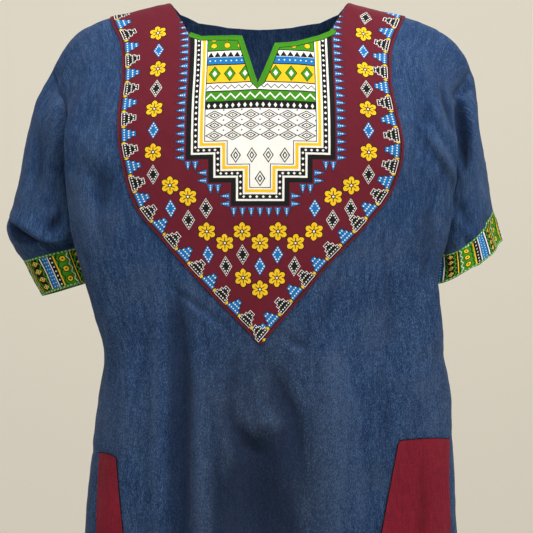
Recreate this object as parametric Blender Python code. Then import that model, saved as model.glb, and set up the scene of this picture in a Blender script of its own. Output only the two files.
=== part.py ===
"""A knee-length dashiki dress, filled out as worn, with no wearer.

Metres, +Z up. The front faces -Y and the garment's left sleeve in a front
view lies at -X. The origin lies between the two neck points, where the
shoulder seams meet the neckline and the wearer's shoulders carry the cloth.

Each cut piece is a thin closed wall. A body panel is laid out by two
numbers: "across" runs from -1 to 1 between its side edges, and "drop" is
the height below the shoulder seam. A sleeve is a run of rings.
"""
import math
from collections import namedtuple

import bpy
import numpy as np
from mathutils import Vector, geometry

# Driving dimensions
DRESS_LENGTH = 1.000
ARMHOLE_DROP = 0.270
DENIM = 0.0014
COTTON = 0.0010
SEAM_GAP = 0.0003
ARMHOLE_GAP = 0.0006
FACET = 0.030
EDGE_CLEAR = 0.009
LEVEL_DROP = 0.300
WIDTH_DROP = 0.560
SHOULDER_ROW = 0.005

# Shoulder seam, read as height against the distance from the centre
Crest = namedtuple("Crest", "reach height")
CREST = [
    Crest(0.000, 0.012), Crest(0.125, 0.000), Crest(0.168, -0.010),
    Crest(0.224, -0.026), Crest(0.254, -0.043), Crest(0.267, -0.059),
    Crest(0.277, -0.076), Crest(0.284, -0.090),
]
TIP_REACH = 0.284

# Half widths of the front panel, how far its side edge is drawn in behind
# the arm, half the armhole's opening from front to back, and how far the
# back panel stands out past the front. The last two turn the side seams.
Section = namedtuple("Section", "drop left right tuck gape spread left_turn right_turn")
SECTIONS = [
    Section(0.000, 0.284, 0.284, 0.000, 0.000, 0.000, 0.000, 0.000),
    Section(0.050, 0.264, 0.268, 0.003, 0.028, 0.000, 0.000, 0.000),
    Section(0.100, 0.262, 0.270, 0.010, 0.040, 0.000, 0.000, 0.000),
    Section(0.150, 0.268, 0.274, 0.020, 0.042, 0.000, 0.000, 0.000),
    Section(0.200, 0.270, 0.275, 0.032, 0.034, 0.000, 0.000, 0.000),
    Section(0.270, 0.268, 0.272, 0.050, 0.000, 0.000, 0.000, 0.000),
    Section(0.320, 0.262, 0.266, 0.062, 0.000, 0.000, 0.000, 0.000),
    Section(0.370, 0.248, 0.252, 0.064, 0.000, 0.000, 0.000, 0.000),
    Section(0.420, 0.232, 0.248, 0.044, 0.000, 0.000, 0.000, 0.000),
    Section(0.470, 0.215, 0.253, 0.012, 0.000, 0.000, -0.006, -0.012),
    Section(0.520, 0.214, 0.256, 0.000, 0.000, 0.005, -0.012, -0.028),
    Section(0.590, 0.218, 0.259, 0.000, 0.000, 0.010, -0.016, -0.036),
    Section(0.730, 0.230, 0.266, 0.000, 0.000, 0.011, -0.016, -0.036),
    Section(1.000, 0.254, 0.290, 0.000, 0.000, 0.012, -0.016, -0.036),
]

# How far the cloth stands in front of and behind the shoulder seam
Depth = namedtuple("Depth", "drop front back")
DEPTHS = [
    Depth(0.000, 0.000, 0.000), Depth(0.002, 0.010, 0.010),
    Depth(0.010, 0.023, 0.022), Depth(0.029, 0.040, 0.036),
    Depth(0.055, 0.058, 0.050), Depth(0.107, 0.084, 0.070),
    Depth(0.162, 0.104, 0.085), Depth(0.260, 0.121, 0.098),
    Depth(0.360, 0.127, 0.103), Depth(0.510, 0.132, 0.108),
    Depth(0.710, 0.144, 0.120), Depth(1.000, 0.160, 0.138),
]
FRONT_FULLNESS = 0.52
BACK_FULLNESS = 0.46
TUCK_START = 0.80

# Soft folds: where each starts and ends, its half width and how far the
# cloth stands out, or in where the height is negative
Fold = namedtuple("Fold", "across_top drop_top across_low drop_low half_width height")
FRONT_FOLDS = [
    Fold(-0.66, 0.30, -0.70, 0.98, 0.030, 0.006),
    Fold(-0.42, 0.36, -0.38, 1.02, 0.028, -0.010),
    Fold(-0.22, 0.40, -0.22, 1.02, 0.034, 0.007),
    Fold(0.02, 0.52, 0.02, 1.02, 0.040, -0.010),
    Fold(0.20, 0.45, 0.24, 1.02, 0.036, 0.007),
    Fold(0.40, 0.28, 0.40, 1.02, 0.028, -0.009),
    Fold(0.62, 0.34, 0.60, 0.90, 0.034, 0.006),
]
BACK_FOLDS = [
    Fold(-0.60, 0.20, -0.66, 1.02, 0.034, 0.007),
    Fold(-0.36, 0.30, -0.40, 1.02, 0.032, -0.010),
    Fold(-0.10, 0.42, -0.12, 1.02, 0.038, 0.008),
    Fold(0.14, 0.48, 0.12, 1.02, 0.036, -0.009),
    Fold(0.38, 0.26, 0.38, 1.02, 0.034, 0.008),
    Fold(0.62, 0.22, 0.62, 1.02, 0.030, -0.007),
]

# Outlines as seen from the front: distance from the centre, and height
Spot = namedtuple("Spot", "x z")
FRONT_NECK = [
    Spot(-0.1085, -0.022), Spot(-0.0950, -0.046), Spot(-0.0770, -0.053),
    Spot(-0.0480, -0.0535), Spot(-0.0225, -0.0535), Spot(-0.0105, -0.091),
    Spot(-0.0015, -0.1205), Spot(0.0090, -0.096), Spot(0.0212, -0.064),
    Spot(0.0480, -0.062), Spot(0.0790, -0.0535), Spot(0.0950, -0.046),
    Spot(0.1085, -0.022),
]
BACK_NECK = [
    Spot(-0.110, -0.010), Spot(-0.085, -0.020), Spot(-0.045, -0.026),
    Spot(0.000, -0.028), Spot(0.045, -0.026), Spot(0.085, -0.020),
    Spot(0.110, -0.010),
]
NECK_REACH = 0.125
YOKE_LEFT_REACH = 0.205
YOKE_RIGHT_REACH = 0.201
YOKE_LEFT = [
    Spot(-0.1960, -0.040), Spot(-0.1880, -0.055), Spot(-0.1836, -0.076),
    Spot(-0.1815, -0.106), Spot(-0.1830, -0.136), Spot(-0.1848, -0.175),
    Spot(-0.1835, -0.202), Spot(-0.1780, -0.229), Spot(-0.1690, -0.264),
    Spot(-0.1584, -0.288), Spot(-0.1285, -0.323), Spot(-0.0907, -0.366),
    Spot(-0.0440, -0.415),
]
YOKE_TIP = Spot(0.0030, -0.4620)
YOKE_RIGHT = [
    Spot(0.1900, -0.040), Spot(0.1825, -0.056), Spot(0.1760, -0.082),
    Spot(0.1755, -0.120), Spot(0.1816, -0.158), Spot(0.1875, -0.187),
    Spot(0.1890, -0.205), Spot(0.1823, -0.241), Spot(0.1706, -0.269),
    Spot(0.1422, -0.305), Spot(0.0980, -0.351), Spot(0.0549, -0.401),
]

# A pocket patch: its corners across the panel, then its top and its foot
Patch = namedtuple("Patch", "top_inner top_outer low_inner low_outer top_drop low_drop")
LEFT_POCKET = Patch(-0.640, -0.965, -0.520, -0.965, 0.600, 0.790)
RIGHT_POCKET = Patch(0.500, 0.965, 0.400, 0.965, 0.588, 0.790)
POCKET_CORNER = 0.010

# A fold fades in over its first part and out again past its end
FOLD_FADE_IN = 0.35
FOLD_END = 1.15
FOLD_FADE_OUT = 0.20

# Sleeve rings as seen from the front: the outer and inner points, then the
# middle in depth, half the depth, and how far the front and back hang lower
Ring = namedtuple("Ring", "outer_x outer_z inner_x inner_z mid half front_dip back_dip")
LEFT_SLEEVE = [
    Ring(-0.3050, -0.130, -0.240, -0.278, 0.001, 0.038, 0.000, 0.000),
    Ring(-0.3140, -0.165, -0.242, -0.287, 0.003, 0.042, 0.000, 0.000),
    Ring(-0.3270, -0.225, -0.234, -0.298, 0.004, 0.048, 0.000, 0.000),
    Ring(-0.3400, -0.276, -0.229, -0.308, 0.003, 0.054, 0.010, 0.006),
    Ring(-0.3480, -0.308, -0.226, -0.317, 0.003, 0.055, 0.014, 0.010),
    Ring(-0.3370, -0.338, -0.223, -0.324, 0.004, 0.047, 0.004, 0.002),
    Ring(-0.3260, -0.3535, -0.221, -0.329, 0.004, 0.045, 0.000, 0.000),
]
LEFT_CUFF = [
    Ring(-0.3130, -0.3780, -0.214, -0.3510, 0.004, 0.046, 0.000, 0.000),
    Ring(-0.3000, -0.4020, -0.207, -0.3730, 0.004, 0.047, 0.000, 0.000),
]
RIGHT_SLEEVE = [
    Ring(0.3050, -0.130, 0.243, -0.278, 0.000, 0.037, 0.000, 0.000),
    Ring(0.3080, -0.160, 0.244, -0.287, 0.001, 0.042, 0.000, 0.000),
    Ring(0.3110, -0.205, 0.236, -0.298, 0.001, 0.048, 0.004, 0.000),
    Ring(0.3160, -0.250, 0.231, -0.310, -0.002, 0.050, 0.014, 0.006),
    Ring(0.3215, -0.282, 0.229, -0.322, -0.003, 0.050, 0.030, 0.010),
]
RIGHT_CUFF = [
    Ring(0.3290, -0.3040, 0.226, -0.3460, -0.008, 0.053, 0.024, 0.016),
    Ring(0.3345, -0.3250, 0.222, -0.3680, -0.012, 0.056, 0.018, 0.022),
]
ARMHOLE_STEPS = 10
ARMHOLE_CROWDING = 1.15
SEAM_STEPS = 26
RING_STEPS = 2
SEAM_SHARE = 0.6

# How a spot seen from the front is searched for on a panel
SEARCH_ROUNDS = 40
SEARCH_STEP = 0.8
REACH_PER_ACROSS = 0.42

# Colours, as seen in daylight
DENIM_BLUE = (0.040, 0.085, 0.190, 1.0)
BURGUNDY = (0.160, 0.012, 0.030, 1.0)
CUFF_GREEN = (0.060, 0.340, 0.030, 1.0)


def ease(value):
    """Rise smoothly from 0 to 1 as the value does."""
    t = np.clip(value, 0.0, 1.0)
    return t * t * (3.0 - 2.0 * t)


def smooth_read(places, values, at):
    """Read a table on a smooth curve through its rows."""
    places = np.asarray(places, float)
    values = np.asarray(values, float)
    slopes = np.gradient(values, places)
    at = np.clip(np.asarray(at, float), places[0], places[-1])
    cell = np.clip(np.searchsorted(places, at) - 1, 0, len(places) - 2)
    span = places[cell + 1] - places[cell]
    t = (at - places[cell]) / span
    start = (1 + 2 * t) * (1 - t) ** 2 * values[cell]
    leave = t * (1 - t) ** 2 * span * slopes[cell]
    end = t * t * (3 - 2 * t) * values[cell + 1]
    arrive = t * t * (t - 1) * span * slopes[cell + 1]
    return start + leave + end + arrive


def column(rows, name):
    """Return one named column of a table."""
    return [getattr(row, name) for row in rows]


def section_value(name, drop):
    """Read a column of the body sections at a drop."""
    return smooth_read(column(SECTIONS, "drop"), column(SECTIONS, name), drop)


def gape_value(drop):
    """Half the armhole's opening at a drop, closed below the armhole."""
    gape = np.maximum(section_value("gape", drop), 0.0)
    return np.where(drop < ARMHOLE_DROP - 1e-6, gape, 0.0)


def crest_height(reach):
    """Height of the shoulder seam at a distance from the centre."""
    return smooth_read(column(CREST, "reach"), column(CREST, "height"), reach)


def panel_depth(panel, drop):
    """Depth of the middle of a panel. The root rounds the shoulder."""
    roots = np.sqrt(column(DEPTHS, "drop"))
    return smooth_read(roots, column(DEPTHS, panel), np.sqrt(drop))


def fold_height(folds, across, drop):
    """Sum the soft folds at a point of a panel."""
    total = np.zeros_like(drop)
    for fold in folds:
        t = (drop - fold.drop_top) / (fold.drop_low - fold.drop_top)
        line = fold.across_top + (fold.across_low - fold.across_top) * np.clip(t, 0, 1)
        gap = (across - line) * TIP_REACH / fold.half_width
        fade = ease(t / FOLD_FADE_IN) * ease((FOLD_END - t) / FOLD_FADE_OUT)
        total = total + fold.height * np.exp(-gap * gap) * fade
    return total


def panel_point(panel, across, drop):
    """Place points of the front or back panel in space."""
    across = np.asarray(across, float)
    drop = np.asarray(drop, float)
    is_front = panel == "front"
    reach = np.where(across < 0, section_value("left", drop), section_value("right", drop))
    tuck = section_value("tuck", drop)
    turn = np.where(across < 0, section_value("left_turn", drop), section_value("right_turn", drop))
    turn = turn * ease(np.abs(across) * 1.5)
    if not is_front:
        reach = reach + section_value("spread", drop)
        tuck = tuck + section_value("spread", drop)
    drawn_in = tuck * ease((np.abs(across) - TUCK_START) / (1 - TUCK_START))
    x = np.sign(across) * (reach * np.sin(np.abs(across) * math.pi / 2) - drawn_in)
    fullness = FRONT_FULLNESS if is_front else BACK_FULLNESS
    belly = np.clip(np.cos(across * math.pi / 2), 0, 1) ** fullness
    side = -1.0 if is_front else 1.0
    edge = turn + side * gape_value(drop)
    folds = fold_height(FRONT_FOLDS if is_front else BACK_FOLDS, across, drop)
    depth = panel_depth(panel, drop) + folds
    y = edge * (1 - belly) + side * depth * belly
    fade = 1.0 - ease(drop / LEVEL_DROP)
    z = crest_height(TIP_REACH * np.sin(np.abs(across) * math.pi / 2)) * fade - drop
    return np.stack([x, y, z], axis=-1)


def reach_to_across(reach):
    """Return the place along the shoulder seam at a distance from the centre."""
    return np.arcsin(np.asarray(reach) / TIP_REACH) * 2 / math.pi


def find_spot(panel, spot):
    """Find where a spot seen from the front lies on a panel."""
    across = spot.x / REACH_PER_ACROSS
    drop = -spot.z
    for _ in range(SEARCH_ROUNDS):
        place = panel_point(panel, across, drop)
        drop = max(drop + SEARCH_STEP * float(place[2] - spot.z), 0.0)
        across = across + SEARCH_STEP * float(spot.x - place[0]) / REACH_PER_ACROSS
    return across, drop


def flat_run(panel):
    """Return matching drops and cloth lengths down a panel's middle."""
    drops = np.linspace(0.0, 1.0, 800) ** 2 * DRESS_LENGTH
    depths = panel_depth(panel, drops)
    steps = np.hypot(np.diff(drops), np.diff(depths))
    return drops, np.concatenate([[0.0], np.cumsum(steps)])


def flat_width(panel):
    """Return matching places and cloth widths out from a panel's middle."""
    across = np.linspace(0.0, 1.0, 800)
    points = panel_point(panel, across, np.full(800, WIDTH_DROP))
    steps = np.linalg.norm(np.diff(points, axis=0), axis=1)
    return across, np.concatenate([[0.0], np.cumsum(steps)])


def inside(outline, points):
    """Tell which flat points lie inside a closed outline."""
    outline = np.asarray(outline)
    ahead = np.roll(outline, -1, axis=0)
    result = np.zeros(len(points), bool)
    for (ax, ay), (bx, by) in zip(outline, ahead):
        if ay == by:
            continue
        crosses = (ay > points[:, 1]) != (by > points[:, 1])
        place = ax + (points[:, 1] - ay) * (bx - ax) / (by - ay)
        result ^= crosses & (points[:, 0] < place)
    return result


def edge_distance(points, start, end):
    """Distance from flat points to a straight edge."""
    run = end - start
    t = np.clip((points - start) @ run / max(run @ run, 1e-12), 0, 1)
    return np.linalg.norm(points - start - t[:, None] * run, axis=1)


def fill_in(corners, longest):
    """Add evenly spaced points to the long sides of an open outline."""
    result = [corners[0]]
    for start, end in zip(corners, corners[1:]):
        count = max(1, math.ceil(math.dist(start, end) / longest))
        for step in range(1, count + 1):
            t = step / count
            result.append(tuple(a + (b - a) * t for a, b in zip(start, end)))
    return result


def seam_drops():
    """Drops of the points that the front, back and sleeves share."""
    shares = [(k / ARMHOLE_STEPS) ** ARMHOLE_CROWDING for k in range(ARMHOLE_STEPS + 1)]
    arm = [ARMHOLE_DROP * share for share in shares]
    step = (DRESS_LENGTH - ARMHOLE_DROP) / SEAM_STEPS
    return arm + [ARMHOLE_DROP + step * k for k in range(1, SEAM_STEPS + 1)]


def crest_acrosses():
    """Places along the left and right shoulder seams, neck point first."""
    sides = []
    for yoke_reach in (YOKE_LEFT_REACH, YOKE_RIGHT_REACH):
        to_yoke = np.linspace(NECK_REACH, yoke_reach, 4)
        to_tip = np.linspace(yoke_reach, TIP_REACH, 5)[1:]
        sides.append(reach_to_across(np.concatenate([to_yoke, to_tip])))
    return sides


class Panel:
    """A body panel: its flat triangles and its points in space."""

    def __init__(self, name, neck):
        """Lay out a panel and cut its neckline."""
        self.name = name
        self.drops, self.run = flat_run(name)
        self.acrosses, self.width = flat_width(name)
        self.flat = []
        self.edges = []
        self.places = []
        left, right = crest_acrosses()
        drops = seam_drops()
        neck_line = [find_spot(name, spot) for spot in neck]
        crest_left = [(-a, 0.0) for a in left]
        crest_right = [(a, 0.0) for a in right]
        neck_run = [crest_left[0], *neck_line, crest_right[0]]
        hem = [self.from_flat((x, -self.run[-1]))[0] for x in self.columns()]
        loop = crest_left[::-1]
        loop += self.split(neck_run, FACET)[1:-1]
        loop += crest_right
        loop += [(1.0, d) for d in drops[1:]]
        loop += [(a, DRESS_LENGTH) for a in hem[::-1]]
        loop += [(-1.0, d) for d in drops[::-1][:-1]]
        self.outline = self.add_line(loop, closed=True)

    def to_flat(self, place):
        """Lay a place on the panel out flat."""
        across, drop = place
        x = math.copysign(float(np.interp(abs(across), self.acrosses, self.width)), across)
        return x, -float(np.interp(drop, self.drops, self.run))

    def columns(self):
        """Return the flat places of the panel's upright rows of points."""
        half = self.width[-1]
        count = round(half / FACET)
        return [half * k / count for k in range(1 - count, count)]

    def from_flat(self, point):
        """Return the place that a flat point stands for."""
        across = math.copysign(float(np.interp(abs(point[0]), self.width, self.acrosses)), point[0])
        return across, float(np.interp(-point[1], self.run, self.drops))

    def split(self, places, longest):
        """Add places along a line so that no step is too long."""
        flat = fill_in([self.to_flat(p) for p in places], longest)
        return [self.from_flat(p) for p in flat]

    def add_line(self, places, closed=False):
        """Add a line of places, sharing the points already there."""
        numbers = []
        for place in places:
            flat = np.array(self.to_flat(place))
            match = [k for k, other in enumerate(self.flat) if np.abs(other - flat).max() < 1e-6]
            if match:
                numbers.append(match[0])
                continue
            numbers.append(len(self.flat))
            self.flat.append(flat)
            self.places.append(place)
        pairs = list(zip(numbers, numbers[1:]))
        if closed:
            pairs.append((numbers[-1], numbers[0]))
        self.edges += [pair for pair in pairs if pair[0] != pair[1]]
        return numbers

    def triangulate(self):
        """Fill the outline with even triangles and place them in space."""
        outline = np.array([self.flat[k] for k in self.outline])
        rows = [self.to_flat((0.0, drop))[1] for drop in [SHOULDER_ROW, *seam_drops()]]
        grid = np.array([(x, y) for y in rows for x in self.columns()])
        keep = inside(outline, grid)
        for a, b in self.edges:
            keep &= edge_distance(grid, self.flat[a], self.flat[b]) > EDGE_CLEAR
        for point in grid[keep]:
            self.flat.append(point)
            self.places.append(self.from_flat(point))
        made = geometry.delaunay_2d_cdt(
            [Vector(p) for p in self.flat], self.edges, [], 0, 1e-7)
        self.flat = [np.array(p) for p in made[0]]
        self.places = [self.places[source[0]] for source in made[3]]
        corners = np.array([list(face) for face in made[2]])
        centres = np.array(self.flat)[corners].mean(axis=1)
        self.faces = corners[inside(outline, centres)]
        across, drop = np.array(self.places).T
        self.points = panel_point(self.name, across, drop)
        self.turn_faces()
        self.set_normals(across, drop)
        self.open_seams(across, drop)

    def turn_faces(self):
        """Make the faces look away from the middle of the garment."""
        side = -1.0 if self.name == "front" else 1.0
        a, b, c = (self.points[self.faces[:, k]] for k in range(3))
        if side * np.cross(b - a, c - a)[:, 1].sum() < 0:
            self.faces = self.faces[:, ::-1]

    def set_normals(self, across, drop):
        """Work out normals, with shared ones where pieces meet."""
        normals = corner_normals(self.points, self.faces)
        top = drop < 1e-9
        reach = np.abs(across[top]) * TIP_REACH
        slope = (crest_height(reach + 1e-4) - crest_height(reach - 1e-4)) / 2e-4
        up = np.stack([-slope * np.sign(across[top]), 0 * slope, 1 + 0 * slope], axis=-1)
        normals[top] = up / np.linalg.norm(up, axis=1)[:, None]
        seam = (np.abs(across) > 1 - 1e-9) & (drop > ARMHOLE_DROP - 1e-6)
        normals[seam] = np.stack([np.sign(across[seam]), 0 * drop[seam], 0 * drop[seam]], axis=-1)
        self.normals = normals

    def open_seams(self, across, drop):
        """Leave the seam gap along the shoulder and side seams."""
        side = -1.0 if self.name == "front" else 1.0
        meets = (drop < 1e-9) | ((np.abs(across) > 1 - 1e-9) & (drop > ARMHOLE_DROP - 1e-6))
        self.points[meets, 1] += side * SEAM_GAP / 2

    def faces_in(self, outline):
        """Return the faces inside an outline of places."""
        flat = [self.to_flat(place) for place in outline]
        centres = np.array(self.flat)[self.faces].mean(axis=1)
        return self.faces[inside(flat, centres)]

    def armhole(self, side):
        """Return the numbers of an armhole edge's points, tip first."""
        across, drop = np.array(self.places).T
        on_edge = np.flatnonzero((across * side > 1 - 1e-9) & (drop < ARMHOLE_DROP + 1e-6))
        return on_edge[np.argsort(drop[on_edge])]


def corner_normals(points, faces):
    """Average the face normals at each point."""
    a, b, c = (points[faces[:, k]] for k in range(3))
    face_normals = np.cross(b - a, c - a)
    normals = np.zeros_like(points)
    for k in range(3):
        np.add.at(normals, faces[:, k], face_normals)
    lengths = np.linalg.norm(normals, axis=1)
    return normals / np.maximum(lengths, 1e-12)[:, None]


def make_wall(name, outer, inner, faces, colour, roughness=0.85):
    """Make a closed cloth wall between two layers of points."""
    used = np.unique(faces)
    lookup = {int(old): new for new, old in enumerate(used)}
    count = len(used)
    front = [tuple(lookup[int(k)] for k in face) for face in faces]
    back = [tuple(k + count for k in face[::-1]) for face in front]
    directed = {(face[k], face[(k + 1) % 3]) for face in front for k in range(3)}
    rim = [(a, b) for a, b in directed if (b, a) not in directed]
    walls = []
    for a, b in sorted(rim):
        walls.append((b, a, a + count))
        walls.append((b, a + count, b + count))
    points = np.concatenate([outer[used], inner[used]])
    mesh = bpy.data.meshes.new(name)
    mesh.from_pydata(points.tolist(), [], front + back + walls)
    mesh.materials.append(make_material(name, colour, roughness))
    mesh.update()
    piece = bpy.data.objects.new(name, mesh)
    bpy.context.scene.collection.objects.link(piece)
    return piece


def make_material(name, colour, roughness):
    """Make a plain cloth material."""
    material = bpy.data.materials.new(name + "_cloth")
    material.use_nodes = True
    shader = material.node_tree.nodes["Principled BSDF"]
    shader.inputs["Base Color"].default_value = colour
    shader.inputs["Roughness"].default_value = roughness
    shader.inputs["Metallic"].default_value = 0.0
    return material


def ring_turns(start):
    """Return the turn of each point round a sleeve, from the armhole's."""
    half = len(start) // 2
    fall = (start[:half + 1, 2] - start[0, 2]) / (start[half, 2] - start[0, 2])
    even = np.arange(half + 1) / half * math.pi
    by_fall = np.arccos(1 - 2 * np.clip(fall, 0, 1))
    front = SEAM_SHARE * by_fall + (1 - SEAM_SHARE) * even
    return np.concatenate([front, 2 * math.pi - front[-2:0:-1]])


def ring_points(ring, turns):
    """Place the points of a sleeve ring, outer point first, then front."""
    cos = np.cos(turns)
    sin = np.sin(turns)
    x = (ring.outer_x + ring.inner_x) / 2 + (ring.outer_x - ring.inner_x) / 2 * cos
    z = (ring.outer_z + ring.inner_z) / 2 + (ring.outer_z - ring.inner_z) / 2 * cos
    z = z - np.where(sin > 0, ring.front_dip, ring.back_dip) * sin * sin
    y = ring.mid - ring.half * sin
    return np.stack([x, y, z], axis=-1)


def armhole_ring(front, back, side):
    """Join the armhole edges of the front and back into one ring."""
    ahead = front.armhole(side)
    behind = back.armhole(side)
    points = np.concatenate([front.points[ahead], back.points[behind[-2:0:-1]]])
    normals = np.concatenate([front.normals[ahead], back.normals[behind[-2:0:-1]]])
    points[0, 1] = 0.0
    points[ARMHOLE_STEPS, 1] = 0.0
    return points, normals


def share_normals(front, back, side, normals):
    """Give the panels the normals that they share with a sleeve."""
    ahead = front.armhole(side)
    behind = back.armhole(side)
    count = len(ahead)
    front.normals[ahead] = normals[:count]
    back.normals[behind[0]] = normals[0]
    back.normals[behind[-1]] = normals[count - 1]
    back.normals[behind[-2:0:-1]] = normals[count:]


def tube_faces(rows, count):
    """Return the triangles of a tube of rings."""
    faces = []
    for row in range(rows - 1):
        for k in range(count):
            a = row * count + k
            b = row * count + (k + 1) % count
            faces.append((a, b, b + count))
            faces.append((a, b + count, a + count))
    return np.array(faces)


def outward_tube(points, rows, count):
    """Return a tube's triangles, turned to look outwards."""
    faces = tube_faces(rows, count)
    a, b, c = (points[faces[:, k]] for k in range(3))
    centre = points.reshape(rows, count, 3).mean(axis=1)
    middle = centre[np.minimum(faces[:, 0] // count, rows - 1)]
    if ((np.cross(b - a, c - a)) * (a - middle)).sum() < 0:
        faces = faces[:, ::-1]
    return faces


def make_tube(name, rings, end_normals, thickness, colour):
    """Make a tube of cloth from its rings."""
    rows = len(rings)
    count = len(rings[0])
    points = np.concatenate(rings)
    faces = outward_tube(points, rows, count)
    normals = corner_normals(points, faces)
    if end_normals is not None:
        normals[:count] = end_normals
    make_wall(name, points, points - normals * thickness, faces, colour)
    return normals[-count:]


def smooth_rings(rings, steps):
    """Add rings between rings on smooth curves through them."""
    places = np.arange(len(rings), dtype=float)
    stack = np.array(rings)
    fine = np.linspace(0, len(rings) - 1, (len(rings) - 1) * steps + 1)
    result = np.zeros((len(fine),) + stack.shape[1:])
    for k in range(stack.shape[1]):
        for axis in range(3):
            result[:, k, axis] = smooth_read(places, stack[:, k, axis], fine)
    return [ring for ring in result]


def make_sleeve(side_name, side, front, back, table, cuff_table):
    """Make a sleeve and its cuff band."""
    start, body_normals = armhole_ring(front, back, side)
    turns = ring_turns(start)
    rings = [start] + [ring_points(ring, turns) for ring in table]
    rings = smooth_rings(rings, RING_STEPS)
    points = np.concatenate(rings)
    faces = outward_tube(points, len(rings), len(start))
    shared = body_normals + corner_normals(points, faces)[:len(start)]
    shared[[0, ARMHOLE_STEPS], 1] = 0.0
    shared = shared / np.linalg.norm(shared, axis=1)[:, None]
    share_normals(front, back, side, shared)
    along = np.roll(start, -1, axis=0) - np.roll(start, 1, axis=0)
    away = np.cross(along, shared) * -side
    away = away / np.linalg.norm(away, axis=1)[:, None]
    rings[0] = rings[0] + away * ARMHOLE_GAP
    end = make_tube("sleeve_" + side_name, rings, shared, DENIM, DENIM_BLUE)
    cuff_rings = [rings[-1]] + [ring_points(ring, turns) for ring in cuff_table]
    cuff = smooth_rings(cuff_rings, RING_STEPS)
    lead = cuff[1] - cuff[0]
    cuff[0] = cuff[0] + lead / np.linalg.norm(lead, axis=1)[:, None] * SEAM_GAP
    make_tube("cuff_" + side_name, cuff, end, DENIM, CUFF_GREEN)


def yoke_outline():
    """Return the printed yoke's outline as places on the front."""
    left = [find_spot("front", spot) for spot in YOKE_LEFT]
    right = [find_spot("front", spot) for spot in YOKE_RIGHT]
    tip = find_spot("front", YOKE_TIP)
    start = (float(-reach_to_across(YOKE_LEFT_REACH)), 0.0)
    end = (float(reach_to_across(YOKE_RIGHT_REACH)), 0.0)
    return [start, *left, tip, *right[::-1], end]


def pocket_outline(patch):
    """Return a pocket patch's outline, with its top inner corner eased."""
    side = math.copysign(1.0, patch.top_outer)
    corner = POCKET_CORNER / TIP_REACH
    return [
        (patch.top_outer, patch.top_drop),
        (patch.top_inner + side * corner, patch.top_drop),
        (patch.top_inner, patch.top_drop + POCKET_CORNER),
        (patch.low_inner, patch.low_drop),
        (patch.low_outer, patch.low_drop),
    ]


def make_applied(name, panel, outline, colour):
    """Make a piece that lies on a panel from the panel's own points."""
    faces = panel.faces_in(outline)
    inner = panel.points + panel.normals * SEAM_GAP
    outer = panel.points + panel.normals * (SEAM_GAP + COTTON)
    make_wall(name, outer, inner, faces, colour)


def main():
    """Build the dress."""
    for old in list(bpy.data.objects):
        bpy.data.objects.remove(old, do_unlink=True)
    front = Panel("front", FRONT_NECK)
    yoke = front.split(yoke_outline(), FACET)
    front.add_line(yoke)
    pockets = [pocket_outline(LEFT_POCKET), pocket_outline(RIGHT_POCKET)]
    pockets = [front.split(shape + shape[:1], FACET)[:-1] for shape in pockets]
    for shape in pockets:
        front.add_line(shape, closed=True)
    front.triangulate()
    back = Panel("back", BACK_NECK)
    back.triangulate()
    make_sleeve("left", -1, front, back, LEFT_SLEEVE, LEFT_CUFF)
    make_sleeve("right", 1, front, back, RIGHT_SLEEVE, RIGHT_CUFF)
    for panel in (front, back):
        inner = panel.points - panel.normals * DENIM
        make_wall(panel.name, panel.points, inner, panel.faces, DENIM_BLUE)
    make_applied("yoke", front, yoke, BURGUNDY)
    make_applied("pocket_left", front, pockets[0], BURGUNDY)
    make_applied("pocket_right", front, pockets[1], BURGUNDY)


main()
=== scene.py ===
"""A dashiki dress in light denim, filled out as worn, dressed for its picture.

Every cloth piece repeats the named sizes of its solid at a finer step, so it
lies where the solid lies. The creases are laid on the whole garment at once,
so a fold runs on over a seam from one piece to the next.

Metres, +Z up. The front faces -Y, and "left" is the left of a front view.
"""

import logging
import math
from dataclasses import dataclass
from enum import Enum
from typing import Iterable, NamedTuple, Optional, Sequence

import bpy
import numpy as np
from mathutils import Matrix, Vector, geometry


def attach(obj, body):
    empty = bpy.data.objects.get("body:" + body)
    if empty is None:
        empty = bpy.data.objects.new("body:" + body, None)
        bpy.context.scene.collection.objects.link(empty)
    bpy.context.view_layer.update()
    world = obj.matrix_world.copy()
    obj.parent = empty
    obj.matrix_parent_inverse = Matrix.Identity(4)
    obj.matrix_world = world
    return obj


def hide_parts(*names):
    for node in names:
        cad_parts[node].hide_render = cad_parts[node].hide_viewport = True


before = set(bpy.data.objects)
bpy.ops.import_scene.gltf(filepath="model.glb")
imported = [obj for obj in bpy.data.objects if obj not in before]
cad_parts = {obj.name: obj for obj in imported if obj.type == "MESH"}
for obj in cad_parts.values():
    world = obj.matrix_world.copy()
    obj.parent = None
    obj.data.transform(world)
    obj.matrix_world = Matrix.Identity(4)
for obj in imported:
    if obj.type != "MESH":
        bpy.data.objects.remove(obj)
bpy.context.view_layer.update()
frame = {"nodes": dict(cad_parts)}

log = logging.getLogger("dashiki_dress")

Point = tuple[float, float]
Place = tuple[float, float, float]
Colour = tuple[float, float, float, float]
Array = np.ndarray
Piece = bpy.types.Object
Material = bpy.types.Material
Socket = bpy.types.NodeSocket
Node = bpy.types.Node
Tree = bpy.types.NodeTree


class Face(Enum):
    """A body panel."""

    FRONT = "front"
    BACK = "back"

    @property
    def side(self) -> float:
        """-1 for the front, which faces -Y, and 1 for the back."""
        return -1.0 if self is Face.FRONT else 1.0


class Hand(Enum):
    """A side of the garment, as seen from the front."""

    LEFT = "left"
    RIGHT = "right"

    @property
    def sign(self) -> float:
        """-1 at the left and 1 at the right."""
        return -1.0 if self is Hand.LEFT else 1.0


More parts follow.
